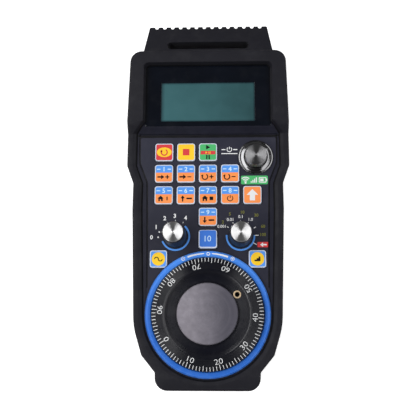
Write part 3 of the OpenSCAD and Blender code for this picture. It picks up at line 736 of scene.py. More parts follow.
def inset(points, distances, rows):
    """An outline moved inwards by a distance at each point. Points on a row stay on it."""
    result = []
    for i, p in enumerate(points):
        before = (p - points[i - 1]).normalized()
        after = (points[(i + 1) % len(points)] - p).normalized()
        normal = xy(-before.y - after.y, before.x + after.x).normalized()
        mitre = max(0.6, normal.dot(xy(-before.y, before.x)))
        moved = p + normal * distances[i] / mitre
        for row in rows:
            if abs(p.y - row) < 1e-5:
                moved = xy(moved.x, row)
        result.append(moved)
    return result


def inside(point, edges):
    """Whether a point lies inside the edges, by counting crossings."""
    odd = False
    for a, b in edges:
        if (a.y > point.y) != (b.y > point.y):
            if point.x < a.x + (point.y - a.y) / (b.y - a.y) * (b.x - a.x):
                odd = not odd
    return odd


def between(value, start, end, low, high):
    share = max(0.0, min(1.0, (value - start) / (end - start)))
    return low + (high - low) * share


def raised(level, by):
    """A height that is a function of x and y, moved up."""
    return lambda x, y: level(x, y) + by


class Solid:
    """One piece under construction, in mm from the handwheel's axis, made of rings of points."""

    def __init__(self):
        self.bm = bmesh.new()
        self.materials = []

    def index(self, finish):
        """Index of a finish among this piece's materials. Without a finish, the first."""
        if finish and finish not in self.materials:
            self.materials.append(finish)
        return self.materials.index(finish) if finish else 0

    def face(self, corners, finish):
        self.bm.faces.new(corners).material_index = self.index(finish)

    def point(self, p, z):
        return self.bm.verts.new((p.x, p.y, z(p.x, p.y) if callable(z) else z))

    def ring(self, points, z):
        """Vertices over an outline. z is a number or a function of x and y."""
        return [self.point(p, z) for p in points]

    def band(self, low, high, finish=None):
        for corners in zip(low, low[1:] + low[:1], high[1:] + high[:1], high, strict=True):
            self.face(corners, finish)

    def stack(self, rings, finish=None):
        for low, high in zip(rings, rings[1:]):
            self.band(low, high, finish)

    def fill(self, loops, rows=(), finish=None, reverse=False):
        """Closes the area between loops, with edges along the rows."""
        verts = [v for loop in loops for v in loop]
        flat = [xy(v.co.x, v.co.y) for v in verts]
        edges = []
        for loop in loops:
            start = len(edges)
            edges += [(start + i, start + (i + 1) % len(loop)) for i in range(len(loop))]
        borders = [(flat[a], flat[b]) for a, b in edges]
        for row in rows:
            on = sorted(
                (i for i, p in enumerate(flat) if abs(p.y - row) < 1e-4), key=lambda i: flat[i].x
            )
            edges += [
                (a, b) for a, b in zip(on, on[1:]) if inside((flat[a] + flat[b]) / 2, borders)
            ]
        made = delaunay_2d_cdt(flat, edges, [], 0, 1e-6)
        for face in made[2]:
            centre = sum((made[0][i] for i in face), Vector((0, 0))) / len(face)
            if inside(centre, borders):
                corners = [verts[made[3][i][0]] for i in face]
                self.face(corners[::-1] if reverse else corners, finish)

    def slab(self, loops, low, high, finish):
        """A flat layer with the given outlines. Later outlines are holes in the first."""
        bottoms = [self.ring(loop, low) for loop in loops]
        tops = [self.ring(loop, high) for loop in loops]
        for pair in zip(bottoms, tops):
            self.band(*pair, finish)
        self.fill(bottoms, finish=finish, reverse=True)
        self.fill(tops, finish=finish)

    def rounded_sides(self, outline, edges, low, high, degrees, rows):
        """Rings up the sides, whose lower and upper edges have a radius at each point."""
        rings = []
        for level, sign, order in ((low, 1, degrees), (high, -1, degrees[::-1])):
            for t in map(math.radians, order):
                moved = inset(outline, [e * (1 - math.cos(t)) for e in edges], rows)
                rings.append([
                    self.point(p, level(p.x, p.y) + sign * e * (1 - math.sin(t)))
                    for p, e in zip(moved, edges)
                ])
        self.stack(rings)
        return rings

    def piece(self, name, slot, body=BODY):
        """Ends the piece: turns it to metres, and gives it its materials and body. The slot is not
        used.
        """
        bmesh.ops.recalc_face_normals(self.bm, faces=self.bm.faces)
        self.bm.transform(Matrix.Translation((AXIS.x, AXIS.y, 0)) @ Matrix.Scale(MM, 4))
        mesh = bpy.data.meshes.new(name)
        self.bm.to_mesh(mesh)
        self.bm.free()
        for finish in self.materials:
            mesh.materials.append(finishes()[finish].material)
        mesh.shade_smooth()
        mesh.set_sharp_from_angle(angle=math.radians(38))
        made = bpy.data.objects.new(name, mesh)
        even = made.modifiers.new("even faces", "WEIGHTED_NORMAL")
        even.mode, even.weight, even.keep_sharp = "FACE_AREA", 50, True
        bpy.context.scene.collection.objects.link(made)
        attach(made, body)
        return made


def soften(node, width_mm, angle=32):
    """Rounds the sharp edges of a node of the model a little."""
    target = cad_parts[node]
    target.modifiers.new("join faces", "WELD").merge_threshold = 0.000002
    edge = target.modifiers.new("soft edges", "BEVEL")
    edge.width, edge.segments = width_mm * MM, 2
    edge.limit_method, edge.angle_limit = "ANGLE", math.radians(angle)
    edge.use_clamp_overlap, edge.harden_normals = True, False


# Jacket. Heights and rows along the pendant, from the round end up to the toothed bar

TAB_Y = -40.2
TAB_SLOPE_Y = TAB_Y + 6
LEDGE = (99.9, 106.5)                 # the jacket climbs from the keypad to the display head
SLOPE = (100.6, 103.9)                # and the casing under it
HEAD = (44.0, 148.0, 6.5)             # corner of the display head: x, y and radius
BAR_X = 36.9
BAR_TIP = (34.05, 165.2)
BAR_LOW = 17.0
BAR_HIGH = 34.0
BAR_FOOT_Y = 150.2
BAR_FALL = 5.0 / 17.2
SLOT_Y = 152.1
TEETH_GAPS = 14
CASING_RIM = 0.3
CLEAR = 0.05
GAP_SIDE = [
    (1.3, 0), (1.12, -0.05), (1.02, -0.2), (1.0, -0.45), (0.92, -0.85), (0.66, -1.2), (0.3, -1.37)
]


def side_corners(d, start=-87):
    """The round end from an angle up to the side, and the flank above it, d inside the face."""
    radius = in_mm("jacket", "end_radius") - d
    end = [(*on_circle(radius, a), 0) for a in range(start, -2, 3)]
    return end, [(41.85 - d, 57, 15), (41.7 - d, 71.9, 4), (45.35 - d, 82, 4), (45.25 - d, 104, 0)]


def case_outline(d):
    end, flank = side_corners(d)
    return rounded(both_sides(end + flank + [tuple(size - d for size in HEAD)]))


def opening_outline(d, head_x, head_y):
    """The opening over the panel and the display."""
    end, flank = side_corners(d)
    corners = [(45.25 - d, LEDGE[0] + 0.6, 1), (head_x, LEDGE[1] + 0.2, 1), (head_x, head_y, 2.5)]
    return rounded(both_sides(end + flank[:3] + corners))


def case_part(solid):
    """The rubber round the casing, from the tab to the display head."""
    rows = (TAB_SLOPE_Y, LEDGE[0], *SLOPE, LEDGE[1])
    rises = in_mm("jacket", "rim_rise"), in_mm("jacket", "head_rise")

    def top(x, y):
        return PANEL_Z + between(y, TAB_Y, TAB_SLOPE_Y, -1.5, 0.0) + between(y, *LEDGE, *rises)

    def casing(x, y):
        return between(y, *SLOPE, PANEL_Z + CASING_RIM, LENS_Z) + CLEAR

    end, flank = side_corners(0, -18)
    tab = [(27.8, TAB_Y, 6.6), (28.1, -30.6, 1.2), (35.4, -21.8, 3)]
    outline = with_rows(rounded(both_sides(tab + end + flank + [HEAD])), rows)
    edges = [in_mm("jacket", "edge_radius")] * len(outline)
    rings = solid.rounded_sides(outline, edges, lambda x, y: 0.0, top, (90, 60, 30, 0), rows)

    # Opening: flat rim, softened edge, bevel down to the casing
    flat, lip = in_mm("jacket", "flat"), in_mm("jacket", "lip")
    inner = [
        solid.ring(with_rows(opening_outline(*sizes), rows), level)
        for *sizes, level in (
            (flat, 36.4, 141.1, top),
            (flat + 0.22, 36.26, 140.94, raised(top, -0.08)),
            (flat + 0.42, 36.16, 140.82, raised(top, -0.24)),
            (lip - 0.75, 35.3, 140.3, raised(casing, 0.95)),
            (lip - 0.1, 35.1, 140.1, raised(casing, 0.3)),
            (lip, 35.0, 140.0, casing),
        )
    ]
    solid.stack(inner[:4])
    # The lip wall takes the darker rubber, as painted shade.
    solid.stack(inner[3:], "lip")
    solid.fill([rings[-1], inner[0]], rows)

    # Room for the casing, and the lip round its back
    wall = with_rows(case_outline(in_mm("jacket", "wall")), rows)
    high, low = solid.ring(wall, casing), solid.ring(wall, BACK_Z - CLEAR)
    solid.fill([high, inner[-1]], rows, reverse=True)
    solid.band(high, low)
    back_lip = in_mm("jacket", "back_lip")
    hem = [
        solid.ring(case_outline(back_lip - out), z)
        for out, z in ((0.0, BACK_Z - CLEAR), (0.0, 0.5), (0.5, 0.0))
    ]
    solid.fill([low, hem[0]])
    solid.stack(hem)
    solid.fill([rings[0], hem[-1]], rows, reverse=True)


def stadium(half, radius, steps=12):
    """Outline of the strap slot."""
    return [
        xy(side * half, SLOT_Y) + on_circle(radius, start + 180 * i / steps)
        for side, start in ((1, -90), (-1, 90)) for i in range(steps + 1)
    ]


def bar_part(solid):
    """The toothed bar above the display head, with its strap slot."""
    pitch = in_mm("jacket", "tooth_pitch")
    head_y, top_y = HEAD[1], BAR_TIP[1]

    def top(x, y):
        return BAR_HIGH - (y - head_y - 1) * BAR_FALL

    def back(x, y):
        return between(y, head_y - 1, BAR_FOOT_Y, 0.6, BAR_LOW)

    foot = [(BAR_X + 0.4, head_y - 2, 0), (BAR_X + 0.05, head_y - 0.1, 0), (BAR_X, head_y + 0.4, 0)]
    bare = rounded(both_sides(foot + [(*BAR_TIP, 0.8)]), 5)
    gap = GAP_SIDE + [(0, -1.4)] + [(-u, v) for u, v in reversed(GAP_SIDE)]
    outline = []
    for a, b in zip(bare, bare[1:] + bare[:1]):
        outline.append(a)
        if a.x > 20 and b.x < -20 and a.y > top_y - 0.1:
            for i in reversed(range(TEETH_GAPS)):
                x = (i - (TEETH_GAPS - 1) / 2) * pitch
                outline += [xy(x + u, top_y + v) for u, v in gap]
    rows = (BAR_FOOT_Y,)
    outline = with_rows(outline, rows)
    edges = [between(p.y, 161.5, 163.4, 0.8, 0.2) for p in outline]
    rings = solid.rounded_sides(outline, edges, back, top, (90, 50, 20, 0), rows)

    radius = in_mm("jacket", "slot_width") / 2
    half = in_mm("jacket", "slot_length") / 2 - radius
    upper = [(0.45, top), (0.12, raised(top, -0.12)), (0.0, raised(top, -0.45))]
    slot = [
        solid.ring(stadium(half, radius + out), z)
        for out, z in upper + [(0.0, BAR_LOW + 0.45), (0.45, BAR_LOW)]
    ]
    solid.stack(slot)
    solid.fill([rings[-1], slot[0]])
    solid.fill([rings[0], slot[-1]], rows, reverse=True)


# Printed marks


@cache
def letters(words, weight):
    """Corner points and faces of words in the built-in face, 1 high and centred."""
    curve = bpy.data.curves.new("letters", "FONT")
    curve.body = words
    curve.extrude = 0.02
    curve.offset = weight
    curve.resolution_u = 3
    carrier = bpy.data.objects.new("letters", curve)
    bpy.context.scene.collection.objects.link(carrier)
    graph = bpy.context.evaluated_depsgraph_get()
    shape = bpy.data.meshes.new_from_object(carrier.evaluated_get(graph))
    bpy.data.objects.remove(carrier)
    bpy.data.curves.remove(curve)
    xs = [v.co.x for v in shape.vertices]
    ys = [v.co.y for v in shape.vertices]
    tall = max(ys) - min(ys)
    x, y = (max(xs) + min(xs)) / 2, (max(ys) + min(ys)) / 2
    points = [((v.co.x - x) / tall, (v.co.y - y) / tall, v.co.z > 0) for v in shape.vertices]
    faces = [tuple(p.vertices) for p in shape.polygons]
    bpy.data.meshes.remove(shape)
    return points, faces


def arc_shape(radius, width, start, end, steps=24, taper=0.0):
    """Part of a ring. With taper, its width falls to a share of itself at the end."""
    outer, inner = [], []
    for i in range(steps + 1):
        t = i / steps
        angle = start + (end - start) * t
        half = width / 2 * (1 - t * taper)
        outer.append(on_circle(radius + half, angle))
        inner.append(on_circle(radius - half, angle))
    return [outer + inner[::-1]]


def ring_shape(width):
    return [circle(0.5, 28), circle(0.5 - width, 28)]


def poly(*numbers):
    return [list(map(Vector, zip(numbers[::2], numbers[1::2])))]


def oblong(x, y):
    """A rectangle from its half sizes."""
    return poly(-x, -y, x, -y, x, y, -x, y)


SHAPES = {
    "minus": oblong(0.4, 0.09),
    "square": oblong(0.4, 0.4),
    "bar": oblong(0.12, 0.42),
    "dash": oblong(0.5, 0.13),
    "line": oblong(0.5, 0.14),
    "dot": [circle(0.5, 20)],
    "plus": poly(
        -0.1, -0.4, 0.1, -0.4, 0.1, -0.1, 0.4, -0.1, 0.4, 0.1, 0.1, 0.1,
        0.1, 0.4, -0.1, 0.4, -0.1, 0.1, -0.4, 0.1, -0.4, -0.1, -0.1, -0.1,
    ),
    "arrow": poly(
        -0.5, -0.11, 0.05, -0.11, 0.05, -0.34, 0.5, 0, 0.05, 0.34, 0.05, 0.11, -0.5, 0.11
    ),
    "play": poly(-0.35, -0.42, 0.42, 0, -0.35, 0.42),
    "house": poly(
        -0.34, -0.42, -0.1, -0.42, -0.1, -0.12, 0.1, -0.12, 0.1, -0.42, 0.34, -0.42,
        0.34, 0.02, 0.5, 0.02, 0, 0.46, -0.5, 0.02, -0.34, 0.02,
    ),
    "upward": poly(-0.22, -0.48, 0.22, -0.48, 0.22, 0.0, 0.48, 0.0, 0, 0.5, -0.48, 0.0, -0.22, 0.0),
    "stairs": poly(
        -0.5, -0.4, 0.5, -0.4, 0.5, 0.4, 0.2, 0.4, 0.2, 0.12, -0.14, 0.12, -0.14, -0.14, -0.5, -0.14
    ),
}


class Print(Solid):
    """Layers of ink on a surface, whose height is a function of x and y."""

    def __init__(self, surface):
        super().__init__()
        self.surface = surface if callable(surface) else lambda x, y: surface
        self.film = in_mm("marks", "ink_thickness")

    def level(self, layer):
        return raised(self.surface, self.film * layer)

    def area(self, loops, finish, layer=1):
        """A patch of ink. Its layer says how many films of ink reach up to it."""
        self.slab(loops, self.level(0.15), self.level(layer), finish)

    def box(self, centre, width, height, radius, finish, layer=1):
        self.area([box_outline(centre, width, height, radius)], finish, layer)

    def mark(self, shape, at, size, finish, turn=0.0, layer=2):
        """A shape from SHAPES, or one made by a function, of a size in mm."""
        spin = Matrix.Rotation(math.radians(turn), 2)
        place = Vector(at)
        loops = SHAPES[shape] if isinstance(shape, str) else shape
        moved = [[place + spin @ Vector(p) * size for p in loop] for loop in loops]
        self.area(moved, finish, layer)

    def text(self, words, at, tall, finish, weight, turn=0.0, layer=2, stretch=1.0):
        points, faces = letters(words, weight)
        spin = Matrix.Rotation(math.radians(turn), 2)
        place = Vector(at)
        low, high = self.level(0.15), self.level(layer)
        verts = [
            self.point(place + spin @ xy(x * tall * stretch, y * tall), high if upper else low)
            for x, y, upper in points
        ]
        for face in faces:
            self.face([verts[i] for i in face], finish)

    def turning_arrow(self, at, size, finish, layer=2):
        radius, start, end = 0.38, 60, -210
        self.mark(arc_shape(radius, 0.15, start, end), at, size, finish, layer=layer)
        tip = at + on_circle(radius * size, end)
        self.mark("play", tip, size * 0.42, finish, end - 90, layer)

    def power_sign(self, at, size, finish):
        self.mark(arc_shape(0.40, 0.12, 125, 415), at, size, finish)
        self.mark("bar", at + xy(0, 0.26 * size), size * 0.52, finish)


# Signs in the lower part of the numbered keys: shape, size and turn on the left, and on the right
KEY_SIGNS = {
    "key_1": (("arrow", 1.25, 0), ("plus", 0.9)),
    "key_2": (("arrow", 1.25, 0), ("minus", 0.9)),
    "key_3": (None, ("plus", 0.9)),
    "key_4": (None, ("minus", 0.9)),
    "key_5": (("house", 1.15, 0), ("bar", 0.8)),
    "key_6": (("arrow", 1.1, 90), ("line", 1.0)),
    "key_7": (("house", 1.15, 0), ("square", 0.8)),
    "key_9": (("arrow", 1.1, -90), ("line", 1.0)),
}
KEY_FACE = 9.9
SIDE_KEY_FACE = 9.2
SIDE_KEY = (27.0, 29.6)


def key_signs(ink, name, at, size):
    if name not in KEY_SIGNS:
        ink.power_sign(at, size * 1.2, "black")
        return
    left, (sign, share) = KEY_SIGNS[name]
    spot = at - xy(0.55 * size, 0)
    if left:
        ink.mark(left[0], spot, size * left[1], "black", left[2])
    else:
        ink.turning_arrow(spot, size * 1.3, "black")
    ink.mark(sign, at + xy(0.62 * size, 0), size * share, "black")


def outside_circle(points, radius):
    """The part of an outline that lies outside a circle about the handwheel's axis."""
    result = []
    cuts = {}
    for a, b in zip(points, points[1:] + points[:1]):
        out = a.length > radius
        if out:
            result.append(a)
        if out != (b.length > radius):
            hit = next(p for p in intersect_line_sphere_2d(a, b, xy(0, 0), radius) if p)
            cuts[out] = len(result), math.atan2(hit.y, hit.x)
            result.append(hit)
    if cuts:
        (leave, start), (_, end) = cuts[True], cuts[False]
        arc = [on_circle(radius, math.degrees(start + (end - start) * i / 8)) for i in range(1, 8)]
        result[leave + 1:leave + 1] = arc
    return result


def sort_around(points):
    """Points of a convex outline in order round their middle."""
    centre = sum(points, Vector((0, 0))) / len(points)
    return sorted(points, key=lambda p: math.atan2(p.y - centre.y, p.x - centre.x))


def side_key_face(ink, name, border):
    """A yellow spot on a face that makes room for the fixed ring."""
    at = xy(SIDE_KEY[0] * (1 if name == "key_step" else -1), SIDE_KEY[1])
    width = SIDE_KEY_FACE - 2 * border
    limit = BEZEL_R + 0.55 + border * 0.8
    ink.area([outside_circle(box_outline(at, width, width, 0.9), limit)], "blue")
    spot = [at + p for p in circle(width * 0.44, 40)]
    ink.area([outside_circle(spot, limit + 0.2)], "yellow", 2)
    if name == "key_step":
        ink.mark("stairs", at, 3.2, "black", layer=3)
    else:
        for x, y, end in ((-1.05, -0.1, 0), (1.05, -0.1, 360)):
            ink.mark(arc_shape(0.42, 0.2, 180, end, 14), at + xy(x, y), 2.5, "black", layer=3)


def key_face(ink, name, border):
    at = plan(name)
    width = KEY_FACE - 2 * border
    w = width / 2
    face = box_outline(at, width, width, 0.95)
    plain = {
        "key_reset": "red", "key_stop": "yellow", "key_start": "green",
        "key_shift": "orange", "key_10": "deep_blue",
    }
    if name in plain:
        ink.area([face], plain[name])
    if name == "key_reset":
        oval = [at + xy(p.x * w * 0.93, p.y * w * 0.62) for p in circle(1, 40)]
        ink.area([oval], "yellow", 2)
        ink.turning_arrow(at, 4.4, "red", 3)
    elif name == "key_stop":
        ink.mark("square", at, 4.6, "red")
    elif name == "key_start":
        ink.mark("play", at + xy(0, 2.75), 3.0, "black")
        ink.box(at + xy(0, -0.35), width - 0.8, 2.0, 0.2, "red", 2)
        for shape, x in (("play", -0.9), ("bar", 0.5), ("bar", 1.2)):
            ink.mark(shape, at + xy(x, -0.35), 1.5, "yellow", layer=3)
        for x in (-0.66, 0.66):
            ink.mark("bar", at + xy(x, -2.95), 3.0, "black")
    elif name == "key_shift":
        ink.mark("upward", at, 6.6, "white")
    elif name == "key_10":
        ink.text("10", at, 3.2, "pale", 0.0)
    else:
        split = at.y + w * 0.12
        ends = [xy(at.x + w, split), xy(at.x - w, split)]
        ink.area([sort_around([p for p in face if p.y >= split] + ends)], "blue")
        ink.area([sort_around([p for p in face if p.y < split] + ends)], "orange")
        ink.text(name[4:], at + xy(0, w * 0.56), 2.6, "pale", 0.02)
        for x in (-3.0, 3.0):
            ink.mark("dash", at + xy(x, w * 0.56), 2.0, "pale")
        key_signs(ink, name, at - xy(0, w * 0.42), 3.1)


def key_print(name):
    """The printed face of one key, which moves with it."""
    ink = Print(height("key_1"))
    draw = side_key_face if name in ("key_continuous", "key_step") else key_face
    draw(ink, name, in_mm("marks", "key_border"))
    ink.piece(name + "_print", name, name + "_cap")


def film_edge(d):
    """The film's edge from one side over the top to the other, d inside it."""
    waist = [(33.45 - d, 14, 0), (33.6 - d, 34.6, 0), (34.3 - d, 72.6, 8), (38.6 - d, 83.6, 6)]
    return rounded(both_sides(waist + [(38.9 - d, 99.1 - d, 1)]))


# Marks of the axis knob: figures, dots and ticks. Marks of the step knob: two rows of figures,
# and ticks as radius, angle and length
AXIS_FIGURES = (
    ("0", -31.1, 41.7), ("1", -28.6, 47.4), ("2", -23.9, 52.3),
    ("3", -18.35, 53.6), ("4", -12.4, 52.45),
)
AXIS_DOTS = ((-27.4, 41.7), (-26.8, 44.6))
AXIS_TICKS = (120, 90, 61.5)
STEP_FIGURES = (
    ("0.001", 7.5, 47.7), ("0.01", 12.2, 51.5), ("0.1", 17.9, 53.1), ("1.0", 23.6, 51.5),
)
STEP_SHARES = (
    ("2", 8.25, 50.1), ("5", 12.1, 54.55), ("10", 19.2, 55.6),
    ("30", 26.7, 53.9), ("60", 30.3, 47.7), ("100", 30.3, 43.1),
)
STEP_TICKS = (
    (8.6, 144, 1.0), (8.4, 119, 0.6), (8.4, 90, 0.6), (8.4, 60, 0.6),
    (9.2, 31, 1.3), (8.9, 3, 2.2), (8.9, -28, 2.2),
)
RED_TAG = (30.35, 37.5)
GREEN_TAG_Y = 73.75
BARS_FOOT_Y = 72.2


def panel_print():
    """Marks on the panel film: a black band along its edge as painted shadow, the scales of both
    knobs, the power sign and two plain tags.
    """
    tall = in_mm("marks", "label_height")
    ink = Print(PANEL_Z)
    # Painted shadow: a black band along the film's edge, where the jacket meets the panel.
    ink.area([film_edge(0.03) + film_edge(0.75)[::-1]], "black")
    for knob, start, end in ((AXIS_KNOB, 201, 408), (STEP_KNOB, 175, 364)):
        ink.area([[knob + p for p in arc_shape(7.6, 0.95, start, end, 60)[0]]], "blue")

    def figures(row, share, finish, weight):
        for words, x, y in row:
            ink.text(words, (x, y), tall * share, finish, weight)

    figures(AXIS_FIGURES, 1.25, "white", 0.03)
    for spot in AXIS_DOTS:
        ink.mark("dot", spot, 0.9, "white")
    for angle in AXIS_TICKS:
        ink.mark("line", AXIS_KNOB + on_circle(8.7, angle), 0.9, "white", angle)
    figures(STEP_FIGURES, 0.88, "white", 0.008)
    figures(STEP_SHARES, 0.95, "olive", 0.03)
    for radius, angle, long in STEP_TICKS:
        tick = [box_outline((0, 0), long, 0.42, 0.1)]
        ink.mark(tick, STEP_KNOB + on_circle(radius, angle), 1, "white", angle)
    ink.box(RED_TAG, 6.5, 2.9, 0.5, "red")
    ink.mark("arrow", RED_TAG, 3.6, "white", 180)

    # Power sign with its rule, and the tag with signs of radio, signal and battery
    ink.power_sign(xy(12.0, 91.4), 3.3, "white")
    for x in (8.7, 15.3):
        ink.mark("dash", (x, 91.3), 2.2, "white")
    ink.box((12.0, 89.0), 9.1, 0.5, 0.1, "white")
    ink.box((25.85, GREEN_TAG_Y), 14.9, 4.9, 0.7, "green")
    ink.mark([circle(0.6, 12)], (20.9, BARS_FOOT_Y), 1.0, "white")
    for radius in (1.1, 2.1, 3.1):
        ink.mark(arc_shape(radius, 0.55, 48, 132, 10), (20.9, BARS_FOOT_Y), 1.0, "white")
    for i in range(4):
        top = 73.0 + 0.75 * i
        middle_y = (BARS_FOOT_Y + top) / 2
        ink.box((24.1 + 0.95 * i, middle_y), 0.62, top - BARS_FOOT_Y, 0.05, "white", 2)
    gauge = (30.4, GREEN_TAG_Y)
    ink.area([box_outline(gauge, 4.2, 3.0, 0.3), box_outline(gauge, 3.3, 2.1, 0.1)], "white", 2)
    for x, width, high, radius in ((32.75, 0.45, 1.4, 0.1), (30.0, 1.9, 1.5, 0.05)):
        ink.box((x, GREEN_TAG_Y), width, high, radius, "white", 2)
    ink.piece("panel_marks", "panel_overlay")


def bezel_print():
    """Direction marks on top of the fixed ring."""
    ink = Print(height("wheel_bezel"))
    ink.mark(ring_shape(0.2), on_circle(32.2, 89.5), 1.9, "white")
    for angle, sign in ((114.4, "minus"), (65.4, "plus")):
        at = on_circle(32.4, angle)
        ink.mark(ring_shape(0.12), at, 2.2, "white")
        ink.mark(sign, at, 1.5, "white", angle - 90)
    for start, end in ((109.7, 93.6), (70.2, 85.9)):
        ink.area(arc_shape(32.4, 1.0, start, end, 20, 0.5), "white")
    ink.piece("ring_marks", "wheel_bezel")


DIAL_PROFILE = ((22.0, 36.3), (23.7, 37.5), (29.0, 34.45), (29.7, 34.1), (30.0, 33.6))
ZERO_ANGLE = 211.5


def dial_surface(x, y):
    """Height of the dial's sloping band."""
    r = math.hypot(x, y)
    for (r0, z0), (r1, z1) in zip(DIAL_PROFILE, DIAL_PROFILE[1:]):
        if r <= r1:
            return between(r, r0, r1, z0, z1)
    return DIAL_PROFILE[-1][1]


def dial_print():
    """A hundred divisions and the plain figures of every tenth."""
    half = in_mm("marks", "tick_width") / 2
    ink = Print(dial_surface)
    for i in range(100):
        inner = 26.9 if i % 10 == 0 else 27.0 if i % 5 == 0 else 27.6
        radii = [inner, 28.3, 28.98, 29.68, 29.9]
        side = [(r, half) for r in radii] + [(r, -half) for r in reversed(radii)]
        spin = Matrix.Rotation(math.radians(ZERO_ANGLE + 3.6 * i), 2)
        ink.area([[spin @ Vector(p) for p in side]], "white", 1.5)
    tall = in_mm("marks", "figure_height")
    for i in range(10):
        angle = ZERO_ANGLE + 36 * i
        spot = on_circle(25.25, angle + (2.4 if i == 1 else 0.0))
        ink.text(str(10 * i), spot, tall, "white", -0.008, angle + 90, 1.8, 1.14)
    ink.piece("dial_marks", "wheel_dial", "handwheel")


# Pieces


def make_jacket():
    """Moulds the jacket as one piece with the toothed bar."""
    solid = Solid()
    solid.index("rubber")
    case_part(solid)
    bar_part(solid)
    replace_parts(solid.piece("jacket", "rubber_jacket"), "rubber_jacket")


def make_lens():
    """The lens: a black printed border round a window, with the display seen through it."""
    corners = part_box("display_lens")
    (x0, x1), (y0, y1) = ([(corner - AXIS)[i] / MM for corner in corners] for i in (0, 1))
    z0, z1 = (corner.z / MM for corner in corners)
    face = ((x0 + x1) / 2, (y0 + y1) / 2), x1 - x0, y1 - y0
    solid = Solid()

    def rings(sizes, radius, levels):
        centre, wide, tall = sizes
        made = [
            solid.ring(box_outline(centre, wide + grown, tall + grown, radius), z)
            for grown, z in levels
        ]
        solid.stack(made, "lens")
        return made

    outer = rings(face, 0.5, ((0.0, z0), (0.0, z1 - 0.2), (-0.12, z1 - 0.06), (-0.4, z1)))
    window = rings(VIEW, 0.35, ((0.16, z1), (0.06, z1 - 0.03), (0.0, z1 - 0.10), (0.0, z0)))
    solid.fill([outer[-1], window[0]], finish="lens")
    solid.fill([outer[0], window[-1]], finish="lens", reverse=True)
    border = solid.piece("lens_border", "display_lens")
    centre, wide, tall = VIEW
    pane = Solid()
    pane.slab([box_outline(centre, wide - 0.02, tall - 0.02, 0.33)], z0 + 0.02, z1 - 0.45, "lcd")
    pane.piece("lens_window", "display_lens")
    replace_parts(border, "display_lens")


def knob_pointer(name, knob, angle, body):
    """White line down a knob's side and across its rim."""
    top = height(name + "_knob")
    solid = Solid()
    spin = Matrix.Rotation(math.radians(angle), 2)
    outer = [(6.52, top - 15.1), (6.42, top - 14.6), (5.9, top - 0.75), (5.6, top - 0.02)]
    profile = outer + [(r - 0.35, z - 0.12) for r, z in reversed(outer)]
    left, right = (
        [solid.point(knob + spin @ xy(r, half), z) for r, z in profile] for half in (0.42, -0.42)
    )
    solid.band(left, right, "white")
    for i in range(len(outer) - 1):
        for row in (left, right):
            solid.face((row[i], row[i + 1], row[-2 - i], row[-1 - i]), "white")
    solid.piece(name + "_pointer", name + "_knob", body)


# Operators


class PendantOperator(bpy.types.Operator):
    """Base of the pendant's operators"""

    bl_options = {"REGISTER", "UNDO"}

    def execute(self, context):
        self.build()
        return {"FINISHED"}


class PENDANT_OT_case(PendantOperator):
    """Mould the rubber jacket and finish the shells, screws and gasket"""

    bl_idname = "pendant.case"
    bl_label = "Case"

    def build(self):
        make_jacket()
        dress(casing="front_shell rear_shell battery_cover", gasket="case_gasket")
        dress(zinc="case_screws", brass="case_inserts")
        soften("battery_cover", 0.25)
        soften("case_screws", 0.2)


class PENDANT_OT_panel(PendantOperator):
    """Finish the panel film and print its marks"""

    bl_idname = "pendant.panel"
    bl_label = "Panel"

    def build(self):
        dress(overlay="panel_overlay")
        panel_print()


class PENDANT_OT_display(PendantOperator):
    """Make the lens and finish the display behind it"""

    bl_idname = "pendant.display"
    bl_label = "Display"

    def build(self):
        make_lens()
        dress(glass="lcd_glass", zinc="lcd_frame", green_board="lcd_board", flex="lcd_flex")


class PENDANT_OT_keys(PendantOperator):
    """Finish the keys and print their faces"""

    bl_idname = "pendant.keys"
    bl_label = "Keys"

    def build(self):
        for name in KEYS:
            dress(key_edge=name)
            soften(name, 0.12)
            key_print(name)


class PENDANT_OT_handwheel(PendantOperator):
    """Finish the handwheel, its ring and encoder, and print the divisions"""

    bl_idname = "pendant.handwheel"
    bl_label = "Handwheel"

    def build(self):
        dress(ring="wheel_bezel", dial="wheel_dial", disc="wheel_disc", insert="crank_insert")
        dress(steel="wheel_shaft shaft_bearings", black_oxide="wheel_set_screw")
        dress(die_cast="encoder_housing", component="encoder_cover", green_board="encoder_board")
        dress(ribbon="encoder_lead", zinc="encoder_screws", code_film="code_disc")
        bezel_print()
        dial_print()


class PENDANT_OT_selectors(PendantOperator):
    """Finish both selector knobs with their caps, pointers and switches"""

    bl_idname = "pendant.selectors"
    bl_label = "Selector knobs"

    def build(self):
        dress(knob="axis_knob step_knob", axis_cap="axis_knob_cap", step_cap="step_knob_cap")
        dress(steel="axis_shaft step_shaft", die_cast="axis_switch step_switch")
        dress(nickel="panel_nuts")
        knob_pointer("axis", AXIS_KNOB, 180, "axis_selector")
        knob_pointer("step", STEP_KNOB, 150, "step_selector")


class PENDANT_OT_power(PendantOperator):
    """Finish the power switch"""

    bl_idname = "pendant.power"
    bl_label = "Power switch"

    def build(self):
        dress(chrome="power_bezel", button="power_button", component="power_switch")
        soften("power_bezel", 0.12, 25)


class PENDANT_OT_electronics(PendantOperator):
    """Finish the boards, switches, cells and contacts inside"""

    bl_idname = "pendant.electronics"
    bl_label = "Electronics"

    def build(self):
        dress(green_board="main_board", component="tact_switches", blue_board="radio_module")
        dress(zinc="board_screws", cell="batteries", nickel="battery_contacts")


def lamp(name, x, power):
    """A soft rectangular lamp to one side, which faces the pendant."""
    light = bpy.data.lights.new(name, "AREA")
    light.shape = "RECTANGLE"
    light.size, light.size_y = 1.05, 0.24
    light.energy = power
    holder = bpy.data.objects.new(name, light)
    holder.location = x, 0.0, 0.55
    aim = Vector((0.0, 0.0, 0.02)) - Vector((x, 0.0, 0.55))
    holder.rotation_euler = aim.to_track_quat("-Z", "Y").to_euler()
    bpy.context.scene.collection.objects.link(holder)


